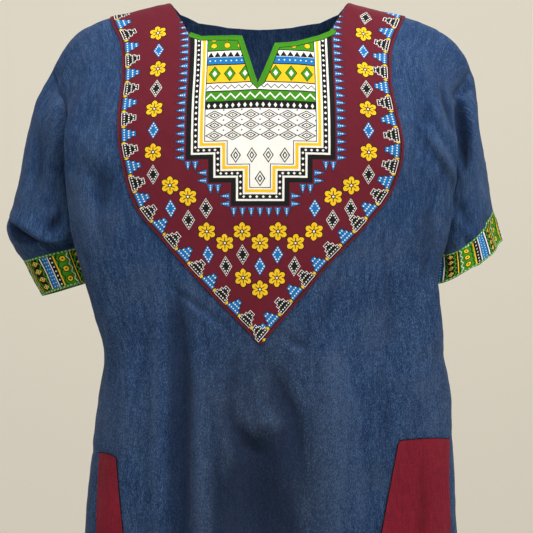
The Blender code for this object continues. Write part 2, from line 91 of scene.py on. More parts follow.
class Ink(Enum):
    """A colour of the printed cotton, as linear light."""

    BURGUNDY = (0.148, 0.012, 0.025)
    COBALT = (0.010, 0.190, 0.520)
    YELLOW = (0.980, 0.600, 0.016)
    GREEN = (0.054, 0.290, 0.008)
    BLACK = (0.010, 0.010, 0.011)
    WHITE = (0.980, 0.960, 0.900)


class Crest(NamedTuple):
    """A distance from the garment's centre and a height, as on the shoulder seam."""

    reach: float
    height: float


class Section(NamedTuple):
    """Half widths of the body at a drop, and how its side seams run."""

    drop: float
    left: float
    right: float
    tuck: float = 0.0
    gape: float = 0.0
    spread: float = 0.0
    left_turn: float = 0.0
    right_turn: float = 0.0


class Depth(NamedTuple):
    """How far the cloth stands in front of and behind the shoulder seam."""

    drop: float
    front: float
    back: float


class Fold(NamedTuple):
    """A soft upright fold of the solid form."""

    across_top: float
    drop_top: float
    across_low: float
    drop_low: float
    half_width: float
    height: float


class Ring(NamedTuple):
    """A ring of a sleeve: its outer and inner points, and its depth."""

    outer_x: float
    outer_z: float
    inner_x: float
    inner_z: float
    mid: float
    half: float
    front_dip: float = 0.0
    back_dip: float = 0.0


class Patch(NamedTuple):
    """A pocket patch: its corners and the middle of its outer edge, from the front."""

    top_outer: Point
    top_inner: Point
    low_inner: Point
    low_outer: Point
    side: Point


def table_of(kind: type, rows: Sequence[tuple[float, ...]]) -> tuple:
    """Give the rows of a table the names of their columns."""
    return tuple(kind(*row) for row in rows)


# Driving dimensions, the same as the solids'
DRESS_LENGTH = 1.000
ARMHOLE_DROP = 0.270
DENIM = 0.0014
COTTON = 0.0010
SEAM_GAP = 0.0003
ARMHOLE_GAP = 0.0006
LEVEL_DROP = 0.300
WIDTH_DROP = 0.560
TIP_REACH = 0.284
NECK_REACH = 0.125
YOKE_LEFT_REACH = 0.205
YOKE_RIGHT_REACH = 0.201
TUCK_START = 0.80
FRONT_FULLNESS = 0.52
BACK_FULLNESS = 0.46
POCKET_CORNER = 0.0075
POCKET_CROWN = 0.034
FOLD_FADE_IN = 0.35
FOLD_END = 1.15
FOLD_FADE_OUT = 0.20
ARMHOLE_CROWDING = 1.15
SEAM_SHARE = 0.6
SEARCH_ROUNDS = 40
SEARCH_STEP = 0.8
REACH_PER_ACROSS = 0.42

# What counts as a sharp edge, as on an edge (a share, then metres) and as the same spot
SHARP_ANGLE = math.radians(50)
EDGE_SHARE = 1e-7
EDGE_NEAR = 1e-6
SAME_SPOT = 2e-5

# How finely the cloth is divided here, and how finely its slopes are read
SLOPE_STEP = 0.0006
CREST_STEP = 1e-4
CELL = 0.0044
ARMHOLE_STEPS = 66
SLEEVE_STEPS = 10
CUFF_STEPS = 8

CREST = table_of(Crest, (
    (0.000, 0.012), (0.125, 0.000), (0.168, -0.010), (0.224, -0.026),
    (0.254, -0.043), (0.267, -0.059), (0.277, -0.076), (0.284, -0.090),
))
SECTIONS = table_of(Section, (
    (0.000, 0.284, 0.284),
    (0.050, 0.264, 0.268, 0.003, 0.028),
    (0.100, 0.262, 0.270, 0.010, 0.040),
    (0.150, 0.268, 0.274, 0.020, 0.042),
    (0.200, 0.270, 0.275, 0.032, 0.034),
    (0.270, 0.268, 0.272, 0.050),
    (0.320, 0.262, 0.266, 0.062),
    (0.370, 0.248, 0.252, 0.064),
    (0.420, 0.232, 0.248, 0.044),
    (0.470, 0.215, 0.253, 0.012, 0.000, 0.000, -0.006, -0.012),
    (0.520, 0.214, 0.256, 0.000, 0.000, 0.005, -0.012, -0.028),
    (0.590, 0.218, 0.259, 0.000, 0.000, 0.010, -0.016, -0.036),
    (0.730, 0.230, 0.266, 0.000, 0.000, 0.011, -0.016, -0.036),
    (1.000, 0.254, 0.290, 0.000, 0.000, 0.012, -0.016, -0.036),
))
DEPTHS = table_of(Depth, (
    (0.000, 0.000, 0.000), (0.002, 0.010, 0.010), (0.010, 0.023, 0.022),
    (0.029, 0.040, 0.036), (0.055, 0.058, 0.050), (0.107, 0.084, 0.070),
    (0.162, 0.104, 0.085), (0.260, 0.121, 0.098), (0.360, 0.127, 0.103),
    (0.510, 0.132, 0.108), (0.710, 0.144, 0.120), (1.000, 0.160, 0.138),
))
FRONT_FOLDS = table_of(Fold, (
    (-0.66, 0.30, -0.70, 0.98, 0.030, 0.006),
    (-0.42, 0.36, -0.38, 1.02, 0.028, -0.010),
    (-0.22, 0.40, -0.22, 1.02, 0.034, 0.007),
    (0.02, 0.52, 0.02, 1.02, 0.040, -0.010),
    (0.20, 0.45, 0.24, 1.02, 0.036, 0.007),
    (0.40, 0.28, 0.40, 1.02, 0.028, -0.009),
    (0.62, 0.34, 0.60, 0.90, 0.034, 0.006),
))
BACK_FOLDS = table_of(Fold, (
    (-0.60, 0.20, -0.66, 1.02, 0.034, 0.007),
    (-0.36, 0.30, -0.40, 1.02, 0.032, -0.010),
    (-0.10, 0.42, -0.12, 1.02, 0.038, 0.008),
    (0.14, 0.48, 0.12, 1.02, 0.036, -0.009),
    (0.38, 0.26, 0.38, 1.02, 0.034, 0.008),
    (0.62, 0.22, 0.62, 1.02, 0.030, -0.007),
))

# Outlines as seen from the front: distance from the centre, and height
FRONT_NECK: tuple[Point, ...] = (
    (-0.1085, -0.022), (-0.0950, -0.046), (-0.0770, -0.053), (-0.0480, -0.0535),
    (-0.0225, -0.0535), (-0.0105, -0.091), (-0.0015, -0.1205), (0.0090, -0.096),
    (0.0212, -0.064), (0.0480, -0.062), (0.0790, -0.0535), (0.0950, -0.046),
    (0.1085, -0.022),
)
BACK_NECK: tuple[Point, ...] = (
    (-0.110, -0.010), (-0.085, -0.020), (-0.045, -0.026), (0.000, -0.028),
    (0.045, -0.026), (0.085, -0.020), (0.110, -0.010),
)
YOKE_LEFT: tuple[Point, ...] = (
    (-0.1960, -0.040), (-0.1880, -0.055), (-0.1836, -0.076), (-0.1815, -0.106),
    (-0.1830, -0.136), (-0.1848, -0.175), (-0.1835, -0.202), (-0.1780, -0.229),
    (-0.1690, -0.264), (-0.1584, -0.288), (-0.1285, -0.323), (-0.0907, -0.366),
    (-0.0440, -0.415),
)
YOKE_TIP: Point = (0.0030, -0.4620)
YOKE_RIGHT: tuple[Point, ...] = (
    (0.1900, -0.040), (0.1825, -0.056), (0.1760, -0.082), (0.1755, -0.120),
    (0.1816, -0.158), (0.1875, -0.187), (0.1890, -0.205), (0.1823, -0.241),
    (0.1706, -0.269), (0.1422, -0.305), (0.0980, -0.351), (0.0549, -0.401),
)
POCKETS = {
    Hand.LEFT: Patch((-0.2095, -0.6065), (-0.1850, -0.6075), (-0.1650, -0.7900),
                     (-0.2130, -0.7900), (-0.2110, -0.7000)),
    Hand.RIGHT: Patch((0.2505, -0.5880), (0.1812, -0.5850), (0.1415, -0.7900),
                      (0.2570, -0.7900), (0.2485, -0.6480)),
}
SLEEVES = {
    Hand.LEFT: table_of(Ring, (
        (-0.3050, -0.130, -0.240, -0.278, 0.001, 0.038),
        (-0.3140, -0.165, -0.242, -0.287, 0.003, 0.042),
        (-0.3270, -0.225, -0.234, -0.298, 0.004, 0.048),
        (-0.3400, -0.276, -0.229, -0.308, 0.003, 0.054, 0.010, 0.006),
        (-0.3480, -0.308, -0.226, -0.317, 0.003, 0.055, 0.014, 0.010),
        (-0.3370, -0.338, -0.223, -0.324, 0.004, 0.047, 0.004, 0.002),
        (-0.3260, -0.3535, -0.221, -0.329, 0.004, 0.045),
    )),
    Hand.RIGHT: table_of(Ring, (
        (0.3050, -0.130, 0.243, -0.278, 0.000, 0.037),
        (0.3080, -0.160, 0.244, -0.287, 0.001, 0.042),
        (0.3110, -0.205, 0.236, -0.298, 0.001, 0.048, 0.004),
        (0.3160, -0.250, 0.231, -0.310, -0.002, 0.050, 0.014, 0.006),
        (0.3215, -0.282, 0.229, -0.322, -0.003, 0.050, 0.030, 0.010),
    )),
}
CUFFS = {
    Hand.LEFT: table_of(Ring, (
        (-0.3130, -0.3780, -0.214, -0.3510, 0.004, 0.046),
        (-0.3000, -0.4020, -0.207, -0.3730, 0.004, 0.047),
    )),
    Hand.RIGHT: table_of(Ring, (
        (0.3290, -0.3040, 0.226, -0.3460, -0.008, 0.053, 0.024, 0.016),
        (0.3345, -0.3250, 0.222, -0.3680, -0.012, 0.056, 0.018, 0.022),
    )),
}


# Curves and outlines


def ease(value: Array) -> Array:
    """Rise smoothly from 0 to 1 as the value does."""
    t = np.clip(value, 0.0, 1.0)
    return t * t * (3.0 - 2.0 * t)


def smooth_read(places: Sequence[float], values: Sequence[float], at: Array) -> Array:
    """Read a table on a smooth curve through its rows.

    Args:
        places: Where the rows stand, rising.
        values: What each row says.
        at: Where to read, held to the table's ends.

    Returns:
        The values read.
    """
    places = np.asarray(places, float)
    values = np.asarray(values, float)
    slopes = np.gradient(values, places)
    at = np.clip(np.asarray(at, float), places[0], places[-1])
    cell = np.clip(np.searchsorted(places, at) - 1, 0, len(places) - 2)
    span = places[cell + 1] - places[cell]
    t = (at - places[cell]) / span
    start = (1 + 2 * t) * (1 - t) ** 2 * values[cell]
    leave = t * (1 - t) ** 2 * span * slopes[cell]
    end = t * t * (3 - 2 * t) * values[cell + 1]
    arrive = t * t * (t - 1) * span * slopes[cell + 1]
    return start + leave + end + arrive


def column(rows: Iterable[NamedTuple], name: str) -> list[float]:
    """Return one named column of a table."""
    return [getattr(row, name) for row in rows]


def unit(vectors: Array) -> Array:
    """Bring vectors to length 1."""
    lengths = np.linalg.norm(vectors, axis=-1, keepdims=True)
    return vectors / np.maximum(lengths, 1e-12)


def rows_of(*columns: Array) -> Array:
    """Put columns side by side, so that each row is a point."""
    return np.stack(columns, axis=-1)


def joined(*parts: Array) -> Array:
    """Put rows of points after one another."""
    return np.concatenate(parts)


def closed(outline: Array) -> Array:
    """Return an outline with its first point again at its end."""
    return joined(outline, outline[:1])


def running(steps: Array) -> Array:
    """Return the length up to each point from the steps between them."""
    return joined([0.0], np.cumsum(steps))


def inside(outline: Array, points: Array) -> Array:
    """Tell which flat points lie inside a closed outline."""
    outline = np.asarray(outline)
    ahead = np.roll(outline, -1, axis=0)
    result = np.zeros(len(points), bool)
    for (ax, ay), (bx, by) in zip(outline, ahead):
        if ay == by:
            continue
        crosses = (ay > points[:, 1]) != (by > points[:, 1])
        place = ax + (points[:, 1] - ay) * (bx - ax) / (by - ay)
        result ^= crosses & (points[:, 0] < place)
    return result


def line_distance(points: Array, line: Array) -> Array:
    """Distance from flat points to an open line of straight runs."""
    best = np.full(len(points), np.inf)
    for start, end in zip(line[:-1], line[1:]):
        run = end - start
        t = np.clip((points - start) @ run / max(run @ run, 1e-12), 0, 1)
        best = np.minimum(best, np.linalg.norm(points - start - t[:, None] * run, axis=1))
    return best


def fill_in(corners: Sequence[Sequence[float]], longest: float) -> Array:
    """Add evenly spaced points to the long runs of an open line."""
    corners = np.asarray(corners, float)
    result = [corners[:1]]
    for start, end in zip(corners[:-1], corners[1:]):
        count = max(1, math.ceil(np.linalg.norm(end - start) / longest))
        steps = np.arange(1, count + 1)[:, None] / count
        result.append(start + (end - start) * steps)
    return joined(*result)


def beside(line: Array, right: float) -> Array:
    """Move a flat line some way to its right."""
    run = unit(np.gradient(line, axis=0))
    return line + rows_of(run[:, 1], -run[:, 0]) * right


def face_ways(points: Array, faces: Array) -> Array:
    """Return which way each face looks, the longer the larger it is."""
    a, b, c = (points[faces[:, k]] for k in range(3))
    return np.cross(b - a, c - a)


def turned_out(points: Array, faces: Array, ways: Array) -> Array:
    """Turn all the faces over if they look against the ways given."""
    against = (face_ways(points, faces) * ways).sum() < 0
    return faces[:, ::-1] if against else faces


def rotated(points: Sequence[Point], turn: float) -> Array:
    """Turn flat points round their origin."""
    x, y = np.asarray(points, float).T
    return rows_of(x * math.cos(turn) - y * math.sin(turn), x * math.sin(turn) + y * math.cos(turn))


def shares(count: int) -> Array:
    """Return the middles of equal shares of 1."""
    return (np.arange(count) + 0.5) / count


def middles(start: float, end: float, count: int) -> Array:
    """Return the middles of equal steps between two places."""
    return start + (end - start) * (np.arange(count) + 0.5) / count


def corner_normals(points: Array, faces: Array) -> Array:
    """Average the face normals at each point."""
    ways = face_ways(points, faces)
    normals = np.zeros_like(points)
    for k in range(3):
        np.add.at(normals, faces[:, k], ways)
    return unit(normals)


def ring_edges(count: int, first: int = 0) -> list[tuple[int, int]]:
    """Number the edges round a closed ring of points."""
    return [(first + k, first + (k + 1) % count) for k in range(count)]


def triangulate(outline: Array, points: Array, edges: Sequence[tuple[int, int]],
                merge: float) -> tuple[Array, Array]:
    """Join flat points into triangles inside an outline.

    Args:
        outline: The closed outline.
        points: All the points, the outline's own among them.
        edges: Pairs of points that have to be joined.
        merge: How near two points are one.

    Returns:
        The flat points and the triangles.
    """
    made = geometry.delaunay_2d_cdt([Vector(p) for p in points], edges, [], 0, merge)
    flat = np.array([tuple(p) for p in made[0]])
    faces = np.array([tuple(face) for face in made[2]])
    return flat, faces[inside(outline, flat[faces].mean(axis=1))]


# The garment's form


@dataclass(frozen=True)
class PanelForm:
    """The front or back of the body as a surface of "across" and "drop".

    "Across" runs from -1 to 1 between the side edges, and "drop" is the
    height below the shoulder seam.
    """

    face: Face

    @property
    def folds(self) -> tuple[Fold, ...]:
        """The soft folds of this panel's solid."""
        return FRONT_FOLDS if self.face is Face.FRONT else BACK_FOLDS

    def fold_height(self, across: Array, drop: Array) -> Array:
        """Sum the soft folds at points of the panel."""
        total = np.zeros_like(drop)
        for fold in self.folds:
            t = (drop - fold.drop_top) / (fold.drop_low - fold.drop_top)
            line = fold.across_top + (fold.across_low - fold.across_top) * np.clip(t, 0, 1)
            gap = (across - line) * TIP_REACH / fold.half_width
            fade = ease(t / FOLD_FADE_IN) * ease((FOLD_END - t) / FOLD_FADE_OUT)
            total = total + fold.height * np.exp(-gap * gap) * fade
        return total

    def middle_depth(self, drop: Array) -> Array:
        """Depth of the panel's middle. The root rounds the shoulder."""
        roots = np.sqrt(column(DEPTHS, "drop"))
        return smooth_read(roots, column(DEPTHS, self.face.value), np.sqrt(drop))

    def point(self, across: Array, drop: Array) -> Array:
        """Place points of the panel in space.

        Args:
            across: Places between the side edges, -1 to 1.
            drop: Heights below the shoulder seam, in metres.

        Returns:
            The points, one row each.
        """
        across, drop = np.broadcast_arrays(np.asarray(across, float), np.asarray(drop, float))
        drops = column(SECTIONS, "drop")

        def read(name: str) -> Array:
            """Read a column of the body sections."""
            return smooth_read(drops, column(SECTIONS, name), drop)

        reach = np.where(across < 0, read("left"), read("right"))
        tuck = read("tuck")
        turn = np.where(across < 0, read("left_turn"), read("right_turn"))
        turn = turn * ease(np.abs(across) * 1.5)
        if self.face is Face.BACK:
            reach = reach + read("spread")
            tuck = tuck + read("spread")
        drawn_in = tuck * ease((np.abs(across) - TUCK_START) / (1 - TUCK_START))
        x = np.sign(across) * (reach * np.sin(np.abs(across) * math.pi / 2) - drawn_in)
        fullness = FRONT_FULLNESS if self.face is Face.FRONT else BACK_FULLNESS
        belly = np.clip(np.cos(across * math.pi / 2), 0, 1) ** fullness
        gape = np.where(drop < ARMHOLE_DROP - EDGE_NEAR, np.maximum(read("gape"), 0.0), 0.0)
        edge = turn + self.face.side * gape
        depth = self.middle_depth(drop) + self.fold_height(across, drop)
        y = edge * (1 - belly) + self.face.side * depth * belly
        fade = 1.0 - ease(drop / LEVEL_DROP)
        crest = smooth_read(
            column(CREST, "reach"), column(CREST, "height"),
            TIP_REACH * np.sin(np.abs(across) * math.pi / 2))
        return rows_of(x, y, crest * fade - drop)

    def find(self, spot: Point) -> Point:
        """Find where a spot seen from the front lies, as across and drop."""
        across = spot[0] / REACH_PER_ACROSS
        drop = -spot[1]
        for _ in range(SEARCH_ROUNDS):
            place = self.point(across, drop)
            drop = max(drop + SEARCH_STEP * float(place[2] - spot[1]), 0.0)
            across = across + SEARCH_STEP * float(spot[0] - place[0]) / REACH_PER_ACROSS
        return across, drop


class FlatCut:
    """The panel laid out flat: cloth lengths against across and drop."""

    SAMPLES = 800

    def __init__(self, form: PanelForm) -> None:
        """Measure the panel down its middle and out to its side."""
        self.form = form
        self.drops = np.linspace(0.0, 1.0, self.SAMPLES) ** 2 * DRESS_LENGTH
        steps = np.hypot(np.diff(self.drops), np.diff(form.middle_depth(self.drops)))
        self.run = running(steps)
        self.acrosses = np.linspace(0.0, 1.0, self.SAMPLES)
        points = form.point(self.acrosses, np.full(self.SAMPLES, WIDTH_DROP))
        self.width = running(np.linalg.norm(np.diff(points, axis=0), axis=1))

    @property
    def half(self) -> float:
        """Half the cloth's width."""
        return float(self.width[-1])

    @property
    def length(self) -> float:
        """The cloth's length from shoulder seam to hem."""
        return float(self.run[-1])

    def lay_out(self, places: Array) -> Array:
        """Turn places (across, drop) into flat points in metres."""
        places = np.asarray(places, float)
        x = np.interp(np.abs(places[:, 0]), self.acrosses, self.width)
        y = -np.interp(places[:, 1], self.drops, self.run)
        return rows_of(np.copysign(x, places[:, 0]), y)

    def take_up(self, flat: Array) -> Array:
        """Turn flat points back into places (across, drop)."""
        flat = np.asarray(flat, float)
        across = np.interp(np.abs(flat[:, 0]), self.width, self.acrosses)
        drop = np.interp(-flat[:, 1], self.run, self.drops)
        return rows_of(np.copysign(across, flat[:, 0]), drop)


def reach_to_across(reach: float) -> float:
    """Return the place along the shoulder seams at a distance from the centre."""
    return float(math.asin(reach / TIP_REACH) * 2 / math.pi)


def armhole_drops() -> Array:
    """Drops of the points that a panel and a sleeve share at the armhole."""
    shares = (np.arange(ARMHOLE_STEPS + 1) / ARMHOLE_STEPS) ** ARMHOLE_CROWDING
    return ARMHOLE_DROP * shares


@dataclass
class Layer:
    """One layer of cloth before it gets its thickness.

    Attributes:
        points: Where its points lie.
        faces: Its triangles, turned to look outwards.
        normals: Which way the cloth faces at each point.
        flat: Where each point lies on the cut cloth, in metres.
        wear: How rubbed the cloth is at each point, 0 to 1; once settled, also painted light on its ridges
            and painted shade in its hollows.
    """

    points: Array
    faces: Array
    normals: Array
    flat: Array
    wear: Array


class BodyCloth:
    """The front or back panel, triangulated at a fine step."""

    CLEAR = 0.45
    MERGE = 1e-7
    RUBBED_EDGE = 0.004
    NEAR_EDGE = 0.02

    def __init__(self, face: Face, neck: tuple[Point, ...]) -> None:
        """Cut the panel and place it in space."""
        self.face = face
        self.form = PanelForm(face)
        self.cut = FlatCut(self.form)
        neck_line = joined(self.shoulder(-NECK_REACH), self.laid_out(neck), self.shoulder(NECK_REACH))
        self.neck = fill_in(neck_line, CELL)
        outline = self.outline()
        rows = -np.arange(CELL, self.cut.length, CELL)
        columns = np.arange(-self.cut.half + CELL, self.cut.half - CELL / 2, CELL)
        grid = rows_of(*np.meshgrid(columns, rows)).reshape(-1, 2)
        grid = grid[inside(outline, grid)]
        grid = grid[line_distance(grid, closed(outline)) > CELL * self.CLEAR]
        flat, faces = triangulate(outline, joined(outline, grid), ring_edges(len(outline)), self.MERGE)
        self.places = self.cut.take_up(flat)
        points = self.form.point(*self.places.T)
        faces = turned_out(points, faces, np.array([0.0, face.side, 0.0]))
        normals = self.seam_normals(corner_normals(points, faces))
        self.layer = Layer(points, faces, normals, flat, self.seam_wear(flat, outline))
        self.open_seams()

    def laid_out(self, spots: Sequence[Point]) -> Array:
        """Find spots seen from the front on the flat panel."""
        return self.cut.lay_out([self.form.find(spot) for spot in spots])

    def shoulder(self, reach: float) -> Array:
        """Find a spot of the shoulder seams on the flat panel."""
        return self.cut.lay_out([(reach_to_across(reach), 0.0)])

    def outline(self) -> Array:
        """Return the panel's flat outline, from the left neck point."""
        count = math.ceil((DRESS_LENGTH - ARMHOLE_DROP) / CELL)
        below = np.linspace(ARMHOLE_DROP, DRESS_LENGTH, count + 1)
        side = joined(armhole_drops(), below[1:])
        right, left = (self.cut.lay_out(rows_of(sign * np.ones_like(side), side)) for sign in (1, -1))
        left = left[::-1]
        top = fill_in(joined(self.shoulder(NECK_REACH), right[:1]), CELL)
        hem = fill_in([right[-1], left[0]], CELL)
        back = fill_in(joined(left[-1:], self.shoulder(-NECK_REACH)), CELL)
        return joined(*(run[:-1] for run in (self.neck, top, right, hem, left, back)))

    @property
    def at_top(self) -> Array:
        """Tell which points lie on the shoulder seams."""
        return self.places[:, 1] < EDGE_SHARE

    @property
    def at_side(self) -> Array:
        """Tell which points lie on the side seams, below the armholes."""
        across, drop = self.places.T
        return (np.abs(across) > 1 - EDGE_SHARE) & (drop > ARMHOLE_DROP - EDGE_NEAR)

    def seam_normals(self, normals: Array) -> Array:
        """Share normals with the other panel where the two meet."""
        across = self.places[self.at_top, 0]
        reach = TIP_REACH * np.sin(np.abs(across) * math.pi / 2)
        places, heights = column(CREST, "reach"), column(CREST, "height")
        after, before = (smooth_read(places, heights, reach + step) for step in (CREST_STEP, -CREST_STEP))
        rise = after - before
        slope = -rise / (2 * CREST_STEP) * np.sign(across)
        normals[self.at_top] = unit(rows_of(slope, 0 * rise, 1 + 0 * rise))
        sign = np.sign(self.places[self.at_side, 0])
        normals[self.at_side] = rows_of(sign, 0 * sign, 0 * sign)
        return normals

    def seam_wear(self, flat: Array, outline: Array) -> Array:
        """Rub the cloth a little paler along its edges."""
        ring = closed(outline)
        near = np.full(len(flat), np.inf)
        for start in range(0, len(ring) - 1, 12):
            run = ring[start:start + 13]
            low, high = run.min(axis=0) - self.NEAR_EDGE, run.max(axis=0) + self.NEAR_EDGE
            close = ((flat > low) & (flat < high)).all(axis=1)
            near[close] = np.minimum(near[close], line_distance(flat[close], run))
        return np.exp(-((near - self.RUBBED_EDGE) / self.RUBBED_EDGE) ** 2)

    def open_seams(self) -> None:
        """Leave the seam gap along the shoulder and side seams."""
        meets = self.at_top | self.at_side
        self.layer.points[meets, 1] += self.face.side * SEAM_GAP / 2

    def armhole(self, hand: Hand) -> Array:
        """Return the numbers of an armhole edge's points, tip first."""
        across, drop = self.places.T
        on_edge = np.flatnonzero((across * hand.sign > 1 - EDGE_SHARE) & (drop < ARMHOLE_DROP + EDGE_NEAR))
        return on_edge[np.argsort(drop[on_edge])]


def ring_turns(start: Array) -> Array:
    """Return the turn of each point round a sleeve, from the armhole's."""
    half = len(start) // 2
    fall = (start[:half + 1, 2] - start[0, 2]) / (start[half, 2] - start[0, 2])
    even = np.arange(half + 1) / half * math.pi
    by_fall = np.arccos(1 - 2 * np.clip(fall, 0, 1))
    front = SEAM_SHARE * by_fall + (1 - SEAM_SHARE) * even
    return joined(front, 2 * math.pi - front[-2:0:-1])


def ring_points(ring: Ring, turns: Array) -> Array:
    """Place the points of a sleeve ring, outer point first, then front."""
    cos = np.cos(turns)
    sin = np.sin(turns)
    x = (ring.outer_x + ring.inner_x) / 2 + (ring.outer_x - ring.inner_x) / 2 * cos
    z = (ring.outer_z + ring.inner_z) / 2 + (ring.outer_z - ring.inner_z) / 2 * cos
    z = z - np.where(sin > 0, ring.front_dip, ring.back_dip) * sin * sin
    return rows_of(x, ring.mid - ring.half * sin, z)


def smooth_rings(rings: Sequence[Array], steps: int) -> Array:
    """Add rings between rings on smooth curves through them."""
    stack = np.array(rings)
    places = np.arange(len(rings), dtype=float)
    fine = np.linspace(0, len(rings) - 1, (len(rings) - 1) * steps + 1)
    result = np.zeros((len(fine),) + stack.shape[1:])
    for k in range(stack.shape[1]):
        for axis in range(3):
            result[:, k, axis] = smooth_read(places, stack[:, k, axis], fine)
    return result


@dataclass
class Tube:
    """A sleeve or cuff as rings of points, each the same way round."""

    rings: Array

    @property
    def count(self) -> int:
        """How many points each ring has."""
        return self.rings.shape[1]

    def points(self) -> Array:
        """Return the points of all the rings, one after another."""
        return self.rings.reshape(-1, 3)

    def faces(self) -> Array:
        """Return the tube's triangles, turned to look outwards."""
        rows, count = self.rings.shape[:2]
        row, k = np.meshgrid(np.arange(rows - 1), np.arange(count), indexing="ij")
        a = (row * count + k).ravel()
        b = (row * count + (k + 1) % count).ravel()
        faces = joined(rows_of(a, b, b + count), rows_of(a, b + count, a + count))
        points = self.points()
        centre = self.rings.mean(axis=1)[faces[:, 0] // count]
        return turned_out(points, faces, points[faces[:, 0]] - centre)

    def normals(self, start: Optional[Array]) -> Array:
        """Return the outward normals, with given ones on the first ring."""
        normals = corner_normals(self.points(), self.faces())
        if start is not None:
            normals[:self.count] = start
        return normals

    def around(self) -> Array:
        """Return the mean length round the tube up to each point, then all."""
        steps = np.roll(self.rings, -1, axis=1) - self.rings
        return running(np.linalg.norm(steps, axis=2).mean(axis=0))

    def along(self) -> Array:
        """Return the mean length down the tube to each ring."""
        steps = np.diff(self.rings, axis=0)
        return running(np.linalg.norm(steps, axis=2).mean(axis=1))

    def flat(self) -> Array:
        """Lay the points out flat: metres round and metres down."""
        around = self.around()
        centred = np.where(around[:-1] > around[-1] / 2, around[:-1] - around[-1], around[:-1])
        across, down = np.meshgrid(centred, self.along())
        return rows_of(across, -down).reshape(-1, 2)

    def read(self, values: Array, flat: Array) -> Array:
        """Read values given at the tube's points at other flat points.

        Args:
            values: A value or vector for each point, ring by ring.
            flat: Flat points, metres round and metres down.

        Returns:
            The values between the tube's points, one row for each flat point.
        """
        grid = values.reshape(self.rings.shape[0], self.count, -1)
        around, along = self.around(), self.along()
        turn = np.mod(flat[:, 0], around[-1])
        k = np.clip(np.searchsorted(around, turn, side="right") - 1, 0, self.count - 1)
        s = ((turn - around[k]) / (around[k + 1] - around[k]))[:, None]
        down = np.clip(-flat[:, 1], 0, along[-1])
        row = np.clip(np.searchsorted(along, down, side="right") - 1, 0, len(along) - 2)
        t = ((down - along[row]) / (along[row + 1] - along[row]))[:, None]
        ahead = (k + 1) % self.count
        top = grid[row, k] * (1 - s) + grid[row, ahead] * s
        low = grid[row + 1, k] * (1 - s) + grid[row + 1, ahead] * s
        return top * (1 - t) + low * t


class SleeveForm:
    """A sleeve and its cuff, run down from the armhole of the body."""

    HANG = 0.014
    HANG_FROM = Crest(0.290, -0.280)
    HANG_OVER = Crest(0.060, 0.050)

    def __init__(self, hand: Hand, front: BodyCloth, back: BodyCloth) -> None:
        """Loft the sleeve and cuff and share the armhole's normals."""
        self.hand = hand
        ahead, behind = front.armhole(hand), back.armhole(hand)
        under = behind[-2:0:-1]
        points = joined(front.layer.points[ahead], back.layer.points[under])
        points[[0, ARMHOLE_STEPS], 1] = 0.0
        body = joined(front.layer.normals[ahead], back.layer.normals[under])
        turns = ring_turns(points)
        self.sleeve = Tube(smooth_rings([points, *self.hung(SLEEVES[hand], turns)], SLEEVE_STEPS))
        shared = body + self.sleeve.normals(None)[:len(points)]
        shared[[0, ARMHOLE_STEPS], 1] = 0.0
        shared = unit(shared)
        count = len(ahead)
        front.layer.normals[ahead] = shared[:count]
        back.layer.normals[behind[0]] = shared[0]
        back.layer.normals[behind[-1]] = shared[count - 1]
        back.layer.normals[under] = shared[count:]
        run = np.roll(points, -1, axis=0) - np.roll(points, 1, axis=0)
        away = unit(np.cross(run, shared) * -hand.sign)
        self.sleeve.rings[0] += away * ARMHOLE_GAP
        self.sleeve_normals = self.sleeve.normals(shared)
        cuff = smooth_rings([self.sleeve.rings[-1], *self.hung(CUFFS[hand], turns)], CUFF_STEPS)
        cuff[0] += unit(cuff[1] - cuff[0]) * SEAM_GAP
        self.cuff = Tube(cuff)
        self.cuff_normals = self.cuff.normals(self.sleeve_normals[-len(points):])

    def on_cuff(self, flat: Array) -> tuple[Array, Array]:
        """Read the cuff's points and outward ways at flat points."""
        return self.cuff.read(self.cuff.points(), flat), unit(self.cuff.read(self.cuff_normals, flat))

    def hung(self, rings: Sequence[Ring], turns: Array) -> list[Array]:
        """Place rings, with the right sleeve's inner end let down as in the photo."""
        placed = [ring_points(ring, turns) for ring in rings]
        if self.hand is Hand.RIGHT:
            for points in placed:
                inner = ease((self.HANG_FROM.reach - points[:, 0]) / self.HANG_OVER.reach)
                low = ease((self.HANG_FROM.height - points[:, 2]) / self.HANG_OVER.height)
                points[:, 2] -= self.HANG * inner * low
        return placed


# Creases


class Crease(NamedTuple):
    """A fold laid along a line seen from the front or the back.

    Attributes:
        face: Whether the line lies on the garment's front or back half.
        line: Its points, as distance from the centre and height.
        half_width: Half its width.
        height: How far the cloth stands out, or in where it is negative.
        under: Share of the height that the cloth falls in beside the fold, on
            the right of a line that runs down.
        sag: How far the fold hangs down over the cloth below it.
        wear: Share of the height that shows in the colour: painted light and rubbing on the ridge, painted
            shade in the hollow.
    """

    face: Face
    line: tuple[Point, ...]
    half_width: float
    height: float
    under: float
    sag: float
    wear: float


